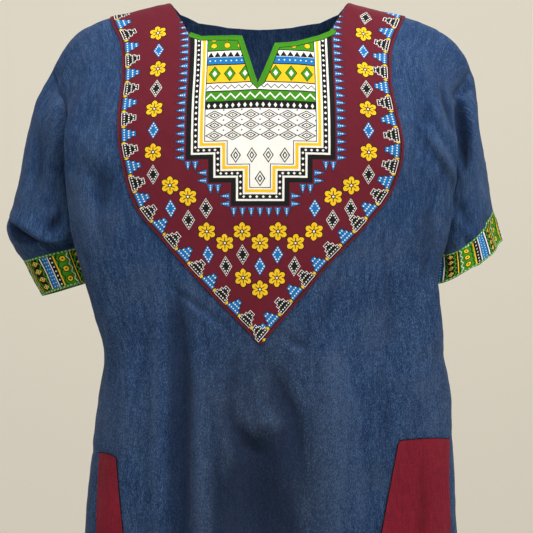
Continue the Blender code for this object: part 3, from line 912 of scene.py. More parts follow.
class Drape:
    """All the creases of the garment, felt by any piece that they cross."""

    LINE_STEP = 0.006
    REACH = 3.2
    NEAR = 0.008
    LAID_ON = -0.2
    FELT_BY = -0.75
    SMOOTHINGS = 4
    TAPER = 0.8
    END_HEIGHT = 0.1
    END_WIDTH = 0.6
    TROUGH_AT = 1.35
    TROUGH_WIDTH = 0.85

    def __init__(self, creases: Sequence[Crease], surface: Array, normals: Array) -> None:
        """Lay the crease lines on the garment.

        Args:
            creases: The creases to lay.
            surface: Points all over the smooth garment.
            normals: Which way the cloth faces at each of them.
        """
        self.lines = []
        for crease in creases:
            facing = normals[:, 1] * crease.face.side > self.LAID_ON
            points, ways = surface[facing], normals[facing]
            flat = fill_in(self.rounded(crease.line), self.LINE_STEP)
            path = np.zeros((len(flat), 3))
            way = np.zeros((len(flat), 3))
            for k, (x, z) in enumerate(flat):
                gaps = np.hypot(points[:, 0] - x, points[:, 2] - z)
                near = gaps < max(self.NEAR, gaps.min() * 1.5)
                out = points[:, 1] * crease.face.side
                near &= out > out[near].max() - self.NEAR
                weights = np.exp(-(gaps[near] / self.NEAR) ** 2)[:, None]
                path[k] = (x, (points[near] * weights).sum(axis=0)[1] / weights.sum(), z)
                way[k] = (ways[near] * weights).sum(axis=0)
            for _ in range(self.SMOOTHINGS):
                path[1:-1, 1] = (path[:-2, 1] + 2 * path[1:-1, 1] + path[2:, 1]) / 4
                way[1:-1] = (way[:-2] + 2 * way[1:-1] + way[2:]) / 4
            self.lines.append((crease, path, unit(way)))

    @staticmethod
    def rounded(line: Sequence[Point]) -> Array:
        """Run a smooth curve through a crease's points."""
        points = np.asarray(line, float)
        if len(points) < 3:
            return points
        places = running(np.linalg.norm(np.diff(points, axis=0), axis=1))
        fine = np.linspace(0, places[-1], 8 * len(points))
        return rows_of(*(smooth_read(places, column_values, fine) for column_values in points.T))

    def shift(self, points: Array, normals: Array) -> tuple[Array, Array]:
        """Work out how far the creases move points of the cloth.

        Args:
            points: Points of the smooth garment.
            normals: Which way the cloth faces there.

        Returns:
            How each point moves, and how far it stands out: painted light and rubbing on ridges, painted
            shade in hollows.
        """
        height = np.zeros(len(points))
        lit_and_rubbed = np.zeros(len(points))
        drop = np.zeros(len(points))
        for crease, path, way in self.lines:
            room = crease.half_width * self.REACH
            low, high = path.min(axis=0) - room, path.max(axis=0) + room
            close = ((points > low) & (points < high)).all(axis=1)
            close &= normals[:, 1] * crease.face.side > self.FELT_BY
            near = np.flatnonzero(close)
            if len(near) == 0:
                continue
            gaps = points[near, None, :] - path[None, :, :]
            best = np.argmin(np.linalg.norm(gaps, axis=2), axis=1)
            run = unit(np.gradient(path, axis=0))[best]
            offset = gaps[np.arange(len(near)), best]
            ahead = (offset * run).sum(axis=1)
            room_back = np.where(best == 0, 0.0, self.LINE_STEP)
            room_on = np.where(best == len(path) - 1, 0.0, self.LINE_STEP)
            held = np.clip(ahead, -room_back, room_on)
            away = np.linalg.norm(offset - ahead[:, None] * run, axis=1)
            aside = np.copysign(away, (offset * np.cross(run, way[best])).sum(axis=1))
            past = ahead - held
            t = np.clip((best + held / self.LINE_STEP) / (len(path) - 1), 0.0, 1.0)
            taper = np.sin(t * math.pi) ** self.TAPER * (1 - self.END_HEIGHT) + self.END_HEIGHT
            width = crease.half_width * (self.END_WIDTH + (1 - self.END_WIDTH) * taper)
            taper = taper * np.exp(-(past / width) ** 2)
            bump = np.exp(-(aside / width) ** 2)
            beyond = aside - self.TROUGH_AT * width
            trough = np.exp(-(beyond / (self.TROUGH_WIDTH * width)) ** 2)
            lift = crease.height * (bump - crease.under * trough * taper) * taper
            height[near] += lift
            lit_and_rubbed[near] += lift * crease.wear
            drop[near] += crease.sag * bump * taper
        move = normals * height[:, None]
        move[:, 2] -= drop
        return move, lit_and_rubbed


def laid(face: Face, *rows: tuple) -> tuple[Crease, ...]:
    """Read the creases of one side.

    Args:
        face: The side.
        rows: Each a crease's sizes, from its half width to its wear, and then
        its points. They are in millimetres, but under and wear are shares.

    Returns:
        The creases, in metres.
    """

    def metres(value: float) -> float:
        """Turn millimetres into metres, with no more digits than were given."""
        return round(value / 1000, 7)

    creases = []
    for (half_width, height, *rest), *spots in rows:
        under, sag, wear = (*rest, *(0.0, 0.0, 1.0)[len(rest):])
        line = tuple((metres(x), metres(z)) for x, z in zip(spots[::2], spots[1::2]))
        creases.append(Crease(face, line, metres(half_width), metres(height), under, metres(sag), wear))
    return tuple(creases)


def ripple(points: Array, seed: int, wave: float, height: float) -> Array:
    """Return small uneven swells, as a sum of slanted waves.

    Args:
        points: Where to read them.
        seed: Which swells.
        wave: Their typical length, in metres.
        height: Their typical height, in metres.

    Returns:
        The height at each point.
    """
    draw = np.random.default_rng(seed)
    total = np.zeros(len(points))
    for _ in range(9):
        way = unit(draw.normal(size=3) * np.array([1.0, 0.8, 0.45]))
        length = wave * draw.uniform(0.6, 1.7)
        total += np.sin(points @ way * 2 * math.pi / length + draw.uniform(0, 2 * math.pi))
    return total * height / 3.0


# The last share of a crease, after its sag, paints its ridge paler as light and rubbing and its hollow
# darker as shade; 0 paints nothing.
FRONT_CREASES = laid(
    Face.FRONT,
    # The two long valleys left of the middle and the ridge between them
    ((17, -11.5), -108, -380, -100, -495, -99, -598, -97, -800),
    ((12, 5.2), -86, -470, -80, -597, -76, -760),
    ((12, -6.4), -62, -540, -54, -623, -48, -780),
    ((12, 7.6), -133, -395, -133, -534, -134, -740),
    ((7, 1.8), -174, -392, -176, -483, -178, -640),
    ((6, 2), -195, -363, -200, -445, -204, -540),
    ((4, -1.4), -76, -405, -76, -470),
    # The drag line under the yoke's left edge
    ((6, -2.6, 0.5), -112, -388, -81, -412, -58, -429, -32, -449),
    # The crumple below the yoke's point, with its lit hollow
    ((10, -5.5, -0.5), -40, -535, -30, -568, -14, -592, 6, -607),
    ((15, -4), -30, -480, -34, -520, -36, -560),
    ((16, 6.2), -14, -578, 10, -564, 34, -572),
    ((40, -5, 0, 0, 2.2), 10, -560, 8, -700, 6, -880),
    ((13, -7.2, -0.35), 6, -470, 28, -522, 46, -561, 54, -610, 56, -670),
    ((25, -14), -6, -585, -5, -661, -3, -800),
    ((10, -3.6, -0.3), 106, -366, 92, -411, 80, -450, 66, -500),
    ((7, -2.8, 0.4), 32, -450, 48, -461, 66, -466),
    # The broad bands down the right
    ((26, 8.8), 92, -430, 98, -560, 100, -740),
    ((24, 2.4), 140, -360, 146, -500, 148, -800),
    ((5, -2), 166, -500, 164, -560, 161, -625),
    ((7.5, 2.6), 208, -440, 201, -500, 193, -560),
    ((13, -3), 160, -320, 168, -400, 176, -500),
    ((42, -2, 0, 0, 1.6), 112, -560, 116, -660, 118, -760),
    # Folds that fan out from the right armhole
    ((12, -3.8), 205, -100, 212, -170, 218, -250),
    ((8, 5.6, 0.5), 214, -172, 240, -214, 268, -256),
    ((7, 3.4, 0.4), 224, -140, 238, -168, 248, -196),
    ((12, 3.8), 216, -60, 224, -110, 228, -150),
    ((15, -4), 224, -250, 224, -310, 216, -390),
    ((30, 1.4, 0, 0, 2.4), 188, -110, 194, -190, 198, -270),
    ((16, 1, 0, 0, 3), 236, -190, 240, -240, 240, -300),
    # The left side of the chest
    ((16, 4), -206, -110, -202, -170, -203, -205),
    ((20, 5, 0.4), -240, -170, -214, -216, -186, -240),
    ((12, 4, -0.5), -236, -210, -232, -270, -222, -350),
    ((12, 3.4, 0.3), -180, -240, -192, -310, -200, -380),
    ((21, -4.2), -206, -212, -204, -255, -200, -300),
    ((16, -2, 0, 0, 2.6), -248, -330, -238, -380, -226, -440),
    # Lesser bands at the right and the soft fold in the right pocket
    ((9, 3.6), 124, -520, 126, -640, 128, -760),
    ((9, 3), 150, -300, 150, -360, 148, -420),
    ((7, -3), 214, -610, 212, -670, 210, -740),
)
SLEEVE_CREASES = laid(
    Face.FRONT,
    # The sleeves stay full beside the armholes
    ((18, 13, 0, 0, 0.35), -266, -100, -272, -165, -276, -235),
    ((14, 6), 286, -120, 290, -180, 292, -240),
    # The sharp fold over the left cuff, with painted shade deepening the hollow under it, and the small
    # ones at its inner end
    ((9, 9.2, 0.9, 10, 0.35), -353, -284, -338, -290, -316, -302, -290, -316, -256, -325),
    ((9.5, -19, 0, 0, 1.8), -346, -302, -326, -314, -298, -326),
    ((11, -5.5, 0, 0, 5), -338, -303, -326, -313, -310, -322),
    ((8, -5.2, 0.5), -260, -288, -272, -302, -288, -316),
    ((12, 3.6, 0, 0, 1.7), -318, -150, -322, -220, -324, -280),
    ((11, -4.2), -298, -170, -296, -215, -300, -270),
    # The armhole seams, drawn in as thin troughs darkened with painted shade where they show
    ((3.6, -1.4, 0, 0, 5), -277, -88, -264, -116, -250, -140),
    ((3.6, -1.4, 0, 0, 5), 287, -78, 275, -116, 260, -152),
    # The deep fold of the right sleeve below the armhole's end
    ((9.8, -16, 0.2), 271, -122, 274, -170, 277, -232),
    ((8.5, -7), 244, -118, 253, -152, 262, -188),
    ((7, -5, 0.6), 262, -140, 276, -124, 292, -112),
    ((10, -4, 0.5), 262, -262, 274, -290, 290, -310),
    ((13, 3.2, 0, 0, 1.8), 298, -180, 304, -230, 306, -280),
    ((24, -10.5), 308, -100, 318, -158, 318, -220),
    # The crumpled right cuff
    ((9, -6.5, 0.4), 276, -322, 286, -340, 294, -362),
    ((7, 3, 0.5), 252, -338, 258, -356, 262, -374),
    ((6, -3.4, 0.5), 306, -292, 314, -308, 318, -328),
    ((17, -10), 320, -290, 328, -318, 330, -350),
    # Small waves of the left cuff
    ((8, -3, 0.4), -300, -345, -292, -366, -286, -392),
    ((8, -3.4, 0.5), -256, -340, -250, -358, -246, -380),
)
BACK_CREASES = laid(
    Face.BACK,
    ((12, -5.6, 0.5), -228, -130, -214, -190, -190, -260),
    ((12, -5.6, 0.5), 232, -130, 216, -190, 196, -250),
    ((16, 3.6), -180, -150, -176, -250, -184, -360),
    ((16, 3.6), 180, -140, 184, -240, 176, -340),
    ((16, -3.6), -90, -330, -60, -420, -52, -520),
    ((16, -4), 80, -300, 60, -400, 58, -520),
    ((16, 3.6), 120, -440, 128, -600, 132, -800),
    ((16, -4), -130, -420, -138, -600, -146, -800),
    ((12, -3.4), 196, -420, 206, -560, 214, -700),
    ((12, 3), -196, -400, -204, -520, -208, -680),
    ((10, -4, 0.4), -282, -200, -290, -250, -296, -310),
    ((8, 4.6, 0.7, 3), -318, -300, -296, -318, -266, -326),
    ((10, -6, 0.5), 282, -150, 284, -210, 280, -270),
    ((9, 3), 300, -180, 306, -240, 310, -290),
)
HEM_CREASES = laid(
    Face.FRONT,
    ((18, -5), -110, -760, -116, -880, -120, -990),
    ((18, 4.4), -52, -780, -50, -890, -54, -990),
    ((18, 4), 52, -760, 60, -880, 64, -990),
    ((18, -5), 122, -780, 130, -880, 138, -990),
    ((16, 4), 196, -800, 206, -900, 212, -990),
    ((16, 3.6), -190, -810, -198, -900, -204, -990),
) + laid(
    Face.BACK,
    ((18, 4.4), -40, -700, -46, -850, -50, -990),
    ((16, -4.4), 30, -760, 34, -880, 38, -990),
    ((16, -4), 170, -740, 180, -870, 186, -990),
)
FULL_PLACES = laid(
    Face.FRONT,
    # Where the sides and the right shoulder stand a little fuller
    ((36, 7.5, 0, 0, 0), -226, -540, -229, -640, -238, -780),
    ((30, 6.5, 0, 0, 0), 236, -380, 238, -430, 243, -480),
    ((24, 7.5, 0, 0, 0), 250, -36, 270, -62, 286, -96, 292, -128),
)
ALL_CREASES = FRONT_CREASES + SLEEVE_CREASES + BACK_CREASES + HEM_CREASES + FULL_PLACES


# Making pieces


def placed(name: str, data: bpy.types.ID) -> Piece:
    """Put a new object into the scene."""
    piece = bpy.data.objects.new(name, data)
    bpy.context.scene.collection.objects.link(piece)
    return piece


def thicken(name: str, layer: Layer, thickness: float, rise: float = 0.0, wrap: float = 0.0) -> Piece:
    """Make a closed wall of cloth from one layer.

    Args:
        name: The piece's name.
        layer: The outer layer of the cloth.
        thickness: How thick the cloth is.
        rise: How far the cloth's inner side stands off the layer.
        wrap: The length round a tube, whose flat cloth meets itself.

    Returns:
        The new piece, with flat cloth metres as its UV map and a "wear" value of rubbing, painted light and
        painted shade.
    """
    used = np.unique(layer.faces)
    count = len(used)
    lookup = np.zeros(len(layer.points), int)
    lookup[used] = np.arange(count)
    faces = lookup[layer.faces]
    normals = layer.normals[used]
    outer = layer.points[used] + normals * (rise + (thickness if rise else 0.0))
    inner = outer - normals * thickness
    sides = joined(faces[:, [0, 1]], faces[:, [1, 2]], faces[:, [2, 0]])
    keys = sides[:, 0] * count + sides[:, 1]
    twins = sides[:, 1] * count + sides[:, 0]
    a, b = sides[~np.isin(keys, twins)].T
    walls = joined(rows_of(b, a, a + count), rows_of(b, a + count, b + count))
    everything = joined(faces, faces[:, ::-1] + count, walls)
    mesh = bpy.data.meshes.new(name)
    mesh.from_pydata(joined(outer, inner).tolist(), [], everything.tolist())
    corners = np.zeros(len(mesh.loops), np.int32)
    mesh.loops.foreach_get("vertex_index", corners)
    spots = layer.flat[used][corners % count].reshape(-1, 3, 2)
    if wrap:
        around = spots[:, :, 0]
        far = around.max(axis=1, keepdims=True)
        wide = np.ptp(around, axis=1, keepdims=True) > wrap / 2
        spots[:, :, 0] += np.where(wide & (around < far - wrap / 2), wrap, 0.0)
    mesh.uv_layers.new(name="flat").data.foreach_set("uv", spots.astype(np.float32).ravel())
    wear = mesh.attributes.new(name="wear", type="FLOAT", domain="POINT")
    wear.data.foreach_set("value", np.tile(layer.wear[used], 2).astype(np.float32))
    mesh.shade_smooth()
    mesh.set_sharp_from_angle(angle=SHARP_ANGLE)
    mesh.update()
    return placed(name, mesh)


# Printed cotton


class Painter:
    """Lays coloured shapes on flat cloth, later ones over earlier ones."""

    LONGEST = 0.006
    MERGE = 2e-6

    def __init__(self, ground: Ink) -> None:
        """Start with plain cloth."""
        self.ground = ground
        self.shapes: list[tuple[Array, Ink]] = []

    def lay(self, outline: Sequence[Sequence[float]], ink: Ink) -> None:
        """Lay any closed shape, with points added to its long sides."""
        ring = fill_in(closed(np.asarray(outline, float)), self.LONGEST)
        self.shapes.append((ring[:-1], ink))

    def disc(self, centre: Point, radius: float, ink: Ink, sides: int = 6) -> None:
        """Lay a round spot."""
        turns = np.arange(sides) / sides * 2 * math.pi
        self.lay(np.asarray(centre) + radius * rows_of(np.cos(turns), np.sin(turns)), ink)

    def block(self, left: float, right: float, top: float, low: float, ink: Ink) -> None:
        """Lay an upright rectangle."""
        self.lay([(left, top), (right, top), (right, low), (left, low)], ink)

    def turned(self, centre: Point, shape: Sequence[Point], turn: float, ink: Ink) -> None:
        """Lay a shape given round its own centre, turned by an angle."""
        self.lay(rotated(shape, turn) + np.asarray(centre), ink)

    def nest(self, centre: Point, *lozenges: tuple[float, float, Ink], turn: float = 0.0) -> None:
        """Lay lozenges over one another, each from its two half widths and its colour."""
        for across, along, ink in lozenges:
            self.turned(centre, [(across, 0), (0, along), (-across, 0), (0, -along)], turn, ink)

    def petal(self, root: Point, length: float, half_width: float, turn: float, ink: Ink) -> None:
        """Lay a round-ended petal that grows from its root along its turn."""
        shape = [
            (0.0, 0.0), (length * 0.35, -half_width * 0.7), (length * 0.72, -half_width),
            (length * 0.95, -half_width * 0.5), (length, 0.0), (length * 0.95, half_width * 0.5),
            (length * 0.72, half_width), (length * 0.35, half_width * 0.7),
        ]
        self.turned(root, shape, turn, ink)

    def bar(self, start: Point, end: Point, width: float, ink: Ink) -> None:
        """Lay a straight bar."""
        start, end = np.asarray(start, float), np.asarray(end, float)
        run = (end - start) / np.linalg.norm(end - start)
        side = np.array([-run[1], run[0]]) * width / 2
        self.lay([start - side, end - side, end + side, start + side], ink)

    def band(self, line: Array, inner: float, outer: float, ink: Ink) -> None:
        """Lay a band beside a line, between two distances to its right."""
        self.lay(joined(beside(line, inner), beside(line, outer)[::-1]), ink)

    def dots(self, start: Point, end: Point, count: int, radius: float, ink: Ink) -> None:
        """Lay a row of small spots."""
        for t in shares(count):
            self.disc((start[0] + (end[0] - start[0]) * t, start[1] + (end[1] - start[1]) * t), radius, ink)

    def zigzag(self, start: Point, end: Point, count: int, depth: float, width: float, ink: Ink) -> None:
        """Lay a zigzag line with a number of teeth."""
        start, end = np.asarray(start, float), np.asarray(end, float)
        run = (end - start) / np.linalg.norm(end - start)
        up = np.array([-run[1], run[0]])
        places = start + np.linspace(0, 1, 2 * count + 1)[:, None] * (end - start)
        swing = np.where(np.arange(2 * count + 1) % 2, depth / 2, -depth / 2)[:, None]
        line = places + up * swing
        self.lay(joined(line - up * width / 2, (line + up * width / 2)[::-1]), ink)

    def teeth(self, start: Point, end: Point, count: int, depth: float, ink: Ink) -> None:
        """Lay a row of triangles whose points look left of the row's run."""
        start, end = np.asarray(start, float), np.asarray(end, float)
        run = (end - start) / count
        up = np.array([-run[1], run[0]]) / np.linalg.norm(run) * depth
        for k in range(count):
            foot = start + run * k
            self.lay([foot, foot + run, foot + run / 2 + up], ink)

    def cut_out(self, outline: Array, cell: float) -> tuple[Array, Array, Array]:
        """Cut the painted cloth into triangles of one colour each.

        Args:
            outline: The cloth's own closed outline.
            cell: The longest step between points.

        Returns:
            Flat points, triangles, and each triangle's colour.
        """
        low, high = outline.min(axis=0), outline.max(axis=0)
        points, edges, total = [outline], ring_edges(len(outline)), len(outline)
        for shape, _ in self.shapes:
            if (shape.max(axis=0) < low).any() or (shape.min(axis=0) > high).any():
                continue
            points.append(shape)
            edges += ring_edges(len(shape), total)
            total += len(shape)
        columns, rows = (np.arange(low[k] + cell / 2, high[k], cell) for k in range(2))
        grid = rows_of(*np.meshgrid(columns, rows)).reshape(-1, 2)
        points.append(grid[inside(outline, grid)])
        flat, faces = triangulate(outline, joined(*points), edges, self.MERGE)
        centres = flat[faces].mean(axis=1)
        colours = np.tile(np.array(self.ground.value), (len(faces), 1))
        order = np.argsort(centres[:, 0])
        sorted_x = centres[order, 0]
        for shape, ink in self.shapes:
            first, last = np.searchsorted(sorted_x, [shape[:, 0].min(), shape[:, 0].max()])
            some = order[first:last]
            colours[some[inside(shape, centres[some])]] = ink.value
        return flat, faces, colours


@dataclass(frozen=True)
class YokePattern:
    """The yoke's print: a stepped bib, a lattice of figures and a border."""

    centre: float = 0.0015
    bib_half: float = 0.092
    bib_foot: float = -0.262
    step_in: float = 0.028
    step_down: float = 0.030
    frame: float = 0.0238
    pitch: float = 0.0300
    flower: float = 0.0118
    lozenge: float = 0.0124
    edge_room: float = 0.030
    bib_room: float = 0.0075
    border_pitch: float = 0.0235
    dart_widths: tuple[float, ...] = (0.0092, 0.0064, 0.0036)
    dart_rise: float = 0.0058
    dart_rim: float = 0.0007
    dot: float = 0.00105
    dot_pitch: float = 0.0034

    def stepped(self, inset: float) -> Array:
        """Return the bib's outline, drawn in by a distance."""
        half, foot = self.bib_half, self.bib_foot
        right = [(half - inset, 0.0)]
        for _ in range(3):
            right.append((half - inset, foot + inset))
            half -= self.step_in
            right.append((half - inset, foot + inset))
            foot -= self.step_down
        right = right[:-1]
        left = [(-x, y) for x, y in right[::-1]]
        return np.array([(x + self.centre, y) for x, y in right + left])

    def bib(self, paint: Painter) -> None:
        """Paint the bib with its frames and its bands."""
        for inset, ink in (
            (0.0000, Ink.BLACK), (0.0062, Ink.WHITE), (0.0088, Ink.BLACK), (0.0148, Ink.WHITE),
            (0.0172, Ink.YELLOW), (0.0210, Ink.WHITE), (0.0228, Ink.BLACK), (self.frame, Ink.WHITE),
        ):
            paint.lay(self.stepped(inset), ink)
        middle = self.stepped(0.0118)
        for start, end in zip(middle[:-1], middle[1:]):
            for t in shares(max(1, round(float(np.linalg.norm(end - start)) / 0.0075))):
                paint.nest(start + (end - start) * t, (0.0019, 0.0019, Ink.WHITE))
        left = self.centre - self.bib_half + self.frame
        right = self.centre + self.bib_half - self.frame
        self.bands(paint, left, right)
        self.net(paint, left, right)
        self.foot_rows(paint)

    def bands(self, paint: Painter, left: float, right: float) -> None:
        """Paint the bands across the bib, from its neck edge down."""

        def block(top: float, low: float, ink: Ink) -> None:
            """Lay one band's ground."""
            paint.block(left, right, top, low, ink)

        block(-0.070, -0.113, Ink.GREEN)
        for x in np.linspace(left + 0.008, right - 0.008, 8):
            for y in (-0.095, -0.106):
                paint.disc((x, y), 0.0044, Ink.BLACK, 10)
                paint.disc((x, y), 0.0037, Ink.YELLOW, 10)
        block(-0.113, -0.1145, Ink.BLACK)
        block(-0.1145, -0.124, Ink.WHITE)
        paint.teeth((left, -0.1235), (right, -0.1235), 16, 0.0080, Ink.BLACK)
        block(-0.124, -0.134, Ink.COBALT)
        paint.dots((left, -0.129), (right, -0.129), 20, self.dot, Ink.WHITE)
        block(-0.134, -0.1355, Ink.BLACK)
        block(-0.1355, -0.160, Ink.YELLOW)
        for x in middles(left, right, 7):
            paint.nest((x, -0.1478), (0.0078, 0.0112, Ink.BLACK), (0.0068, 0.0100, Ink.GREEN),
                       (0.0030, 0.0046, Ink.WHITE))
        block(-0.160, -0.1615, Ink.BLACK)
        block(-0.1615, -0.1715, Ink.WHITE)
        paint.zigzag((left, -0.1665), (right, -0.1665), 15, 0.0050, 0.0016, Ink.BLACK)
        block(-0.1715, -0.173, Ink.BLACK)
        block(-0.173, -0.186, Ink.GREEN)
        paint.zigzag((left, -0.1795), (right, -0.1795), 11, 0.0070, 0.0026, Ink.WHITE)
        block(-0.186, -0.1875, Ink.BLACK)
        block(-0.1875, -0.197, Ink.BLACK)
        for x in middles(left, right, 18):
            paint.nest((x, -0.1922), (0.0021, 0.0034, Ink.WHITE))

    def net(self, paint: Painter, left: float, right: float) -> None:
        """Paint the white field of the bib with a net of fine lozenges."""
        top, low = -0.1985, self.bib_foot + self.frame
        rows, count = 3, 6
        height = (top - low) / rows
        width = (right - left) / count
        for row in range(rows):
            for k in range(count):
                x = left + width * (k + 0.5)
                y = top - height * (row + 0.5)
                paint.nest((x, y), *(
                    (width / 2 * share, height / 2 * share, ink) for share, ink in
                    ((1.02, Ink.BLACK), (0.82, Ink.WHITE), (0.60, Ink.BLACK), (0.38, Ink.WHITE))))
                paint.disc((x, y), 0.0011, Ink.BLACK)
                paint.disc((x + width / 2, y + height / 2), 0.0011, Ink.BLACK)

    def foot_rows(self, paint: Painter) -> None:
        """Paint a row of lozenges on each lower step of the bib."""
        for step in (1, 2):
            half = self.bib_half - self.step_in * step - self.frame
            foot = self.bib_foot - self.step_down * step + self.frame
            count = int(half / 0.0085)
            for k in range(count):
                x = self.centre + half * ((2 * k + 1) / count - 1)
                paint.nest((x, foot + 0.011), (0.0066, 0.0100, Ink.BLACK), (0.0050, 0.0080, Ink.WHITE),
                           (0.0032, 0.0052, Ink.BLACK), (0.0016, 0.0028, Ink.WHITE))

    def saw(self, paint: Painter) -> None:
        """Paint a row of blue teeth round the bib."""
        outline = self.stepped(-0.0022)
        for start, end in zip(outline[:-1], outline[1:]):
            run = end - start
            length = float(np.linalg.norm(run))
            run = run / length
            out = np.array([0.0, -1.0])
            if abs(run[1]) > 0.5:
                out = np.array([math.copysign(1.0, start[0] - self.centre), 0.0])
            for t in shares(max(1, round(length / 0.0105))):
                foot = start + (end - start) * t
                if line_distance((foot + out * 0.0138)[None], outline)[0] < 0.0110:
                    continue
                side = run * 0.0040
                paint.lay([foot - side * 1.2, foot + side * 1.2, foot + out * 0.0138], Ink.BLACK)
                paint.lay([foot - side, foot + side, foot + out * 0.0122], Ink.COBALT)
                for reach in (0.0018, 0.0045, 0.0070):
                    paint.disc(foot + out * reach, self.dot * 0.85, Ink.WHITE)

    def rosette(self, paint: Painter, place: Point, radius: float) -> None:
        """Paint a yellow flower of six petals."""
        turns = [math.pi / 6 + k * math.pi / 3 for k in range(6)]
        for turn in turns:
            paint.petal(place, radius * 1.10, radius * 0.40, turn, Ink.BLACK)
        for turn in turns:
            paint.petal(place, radius, radius * 0.32, turn, Ink.YELLOW)
            tip = (place[0] + math.cos(turn) * radius * 0.62, place[1] + math.sin(turn) * radius * 0.62)
            paint.bar(place, tip, radius * 0.09, Ink.BLACK)
        paint.disc(place, radius * 0.24, Ink.BLACK, 8)
        paint.disc(place, radius * 0.13, Ink.WHITE)

    def jewel(self, paint: Painter, place: Point, ink: Ink, size: float) -> None:
        """Paint a lozenge with a pale rim of dots."""
        paint.nest(place, (size * 0.66, size * 1.06, self.rim(ink)), (size * 0.60, size * 0.98, ink))
        corners = [(size * 0.42, 0.0), (0.0, size * 0.72), (-size * 0.42, 0.0), (0.0, -size * 0.72)]
        for (ax, ay), (bx, by) in zip(corners, corners[1:] + corners[:1]):
            for t in (0.0, 0.34, 0.67):
                spot = (place[0] + (ax + (bx - ax) * t), place[1] + (ay + (by - ay) * t))
                paint.disc(spot, self.dot, Ink.WHITE)

    @staticmethod
    def rim(ink: Ink) -> Ink:
        """Return the colour that rims a figure: black, or white round black."""
        return Ink.WHITE if ink is Ink.BLACK else Ink.BLACK

    def lattice(self, paint: Painter, outline: Array) -> None:
        """Paint the field with a half-drop repeat of flowers and lozenges."""
        ring = closed(outline)
        bib = self.stepped(-0.0150)
        bib[0, 1] = bib[-1, 1] = 0.02
        for i in range(-9, 10):
            for j in range(i % 2, 44, 2):
                place = (self.centre + i * self.pitch * 0.75, -0.010 - j * self.pitch * 0.5)
                spot = np.array([place])
                if not inside(outline, spot)[0] or inside(bib, spot)[0]:
                    continue
                room, clear = line_distance(spot, ring)[0], line_distance(spot, bib)[0]
                if room < self.edge_room or clear < self.bib_room:
                    continue
                kind = (j // 2 + i) % 4
                if kind % 2 == 0:
                    self.rosette(paint, place, self.flower)
                else:
                    self.jewel(paint, place, Ink.COBALT if kind == 1 else Ink.BLACK, self.lozenge)

    def border(self, paint: Painter, edge: Array) -> None:
        """Paint the border of darts and lozenges along the cut edge."""
        places = running(np.linalg.norm(np.diff(edge, axis=0), axis=1))

        def read(at: float) -> Array:
            """Return the point of the edge at a length along it."""
            return np.array([np.interp(at, places, edge[:, axis]) for axis in range(2)])

        paint.band(edge, -0.0026, -0.0036, Ink.BLACK)
        count = round(places[-1] / self.border_pitch)
        for k in range(count):
            at = places[-1] * (k + 0.5) / count
            foot = read(at)
            run = read(at + 0.004) - read(at - 0.004)
            run = run / np.linalg.norm(run)
            into = np.array([-run[1], run[0]])
            turn = math.atan2(into[1], into[0]) - math.pi / 2
            self.dart(paint, foot + into * 0.0055, turn, Ink.COBALT if k % 2 else Ink.BLACK)
            between = foot + run * self.border_pitch / 2 + into * 0.0075
            paint.nest(between, (0.0026, 0.0040, Ink.BLACK), (0.0019, 0.0031, Ink.YELLOW), turn=turn)

    def dart(self, paint: Painter, foot: Array, turn: float, ink: Ink) -> None:
        """Paint a stepped dart that points into the field, with white dots."""
        rise = self.dart_rise
        for grow, colour in ((self.dart_rim, self.rim(ink)), (0.0, ink)):
            for k, width in enumerate(self.dart_widths):
                side, low, high = width + grow, k * rise - grow, (k + 1) * rise + grow
                paint.turned(foot, [(-side, low), (side, low), (side, high), (-side, high)], turn, colour)
        for k, width in enumerate(self.dart_widths):
            ends = foot + rotated([(-width, (k + 0.5) * rise), (width, (k + 0.5) * rise)], turn)
            paint.dots(*ends, round(width * 2 / self.dot_pitch), self.dot, Ink.WHITE)

    def paint(self, outline: Array, edge: Array, neck: Array) -> Painter:
        """Paint the whole yoke.

        Args:
            outline: The yoke's closed flat outline.
            edge: Its cut edge, from the left shoulder round to the right.
            neck: The neckline, from the left neck point to the right.

        Returns:
            The painter, with all its shapes laid.
        """
        paint = Painter(Ink.BURGUNDY)
        self.lattice(paint, outline)
        self.border(paint, edge)
        self.saw(paint)
        self.bib(paint)
        paint.band(neck, -0.004, 0.0010, Ink.BLACK)
        middle = neck[np.abs(neck[:, 0] - self.centre) < self.bib_half]
        paint.band(middle, -0.004, 0.0082, Ink.BLACK)
        paint.band(middle, -0.004, 0.0072, Ink.GREEN)
        return paint


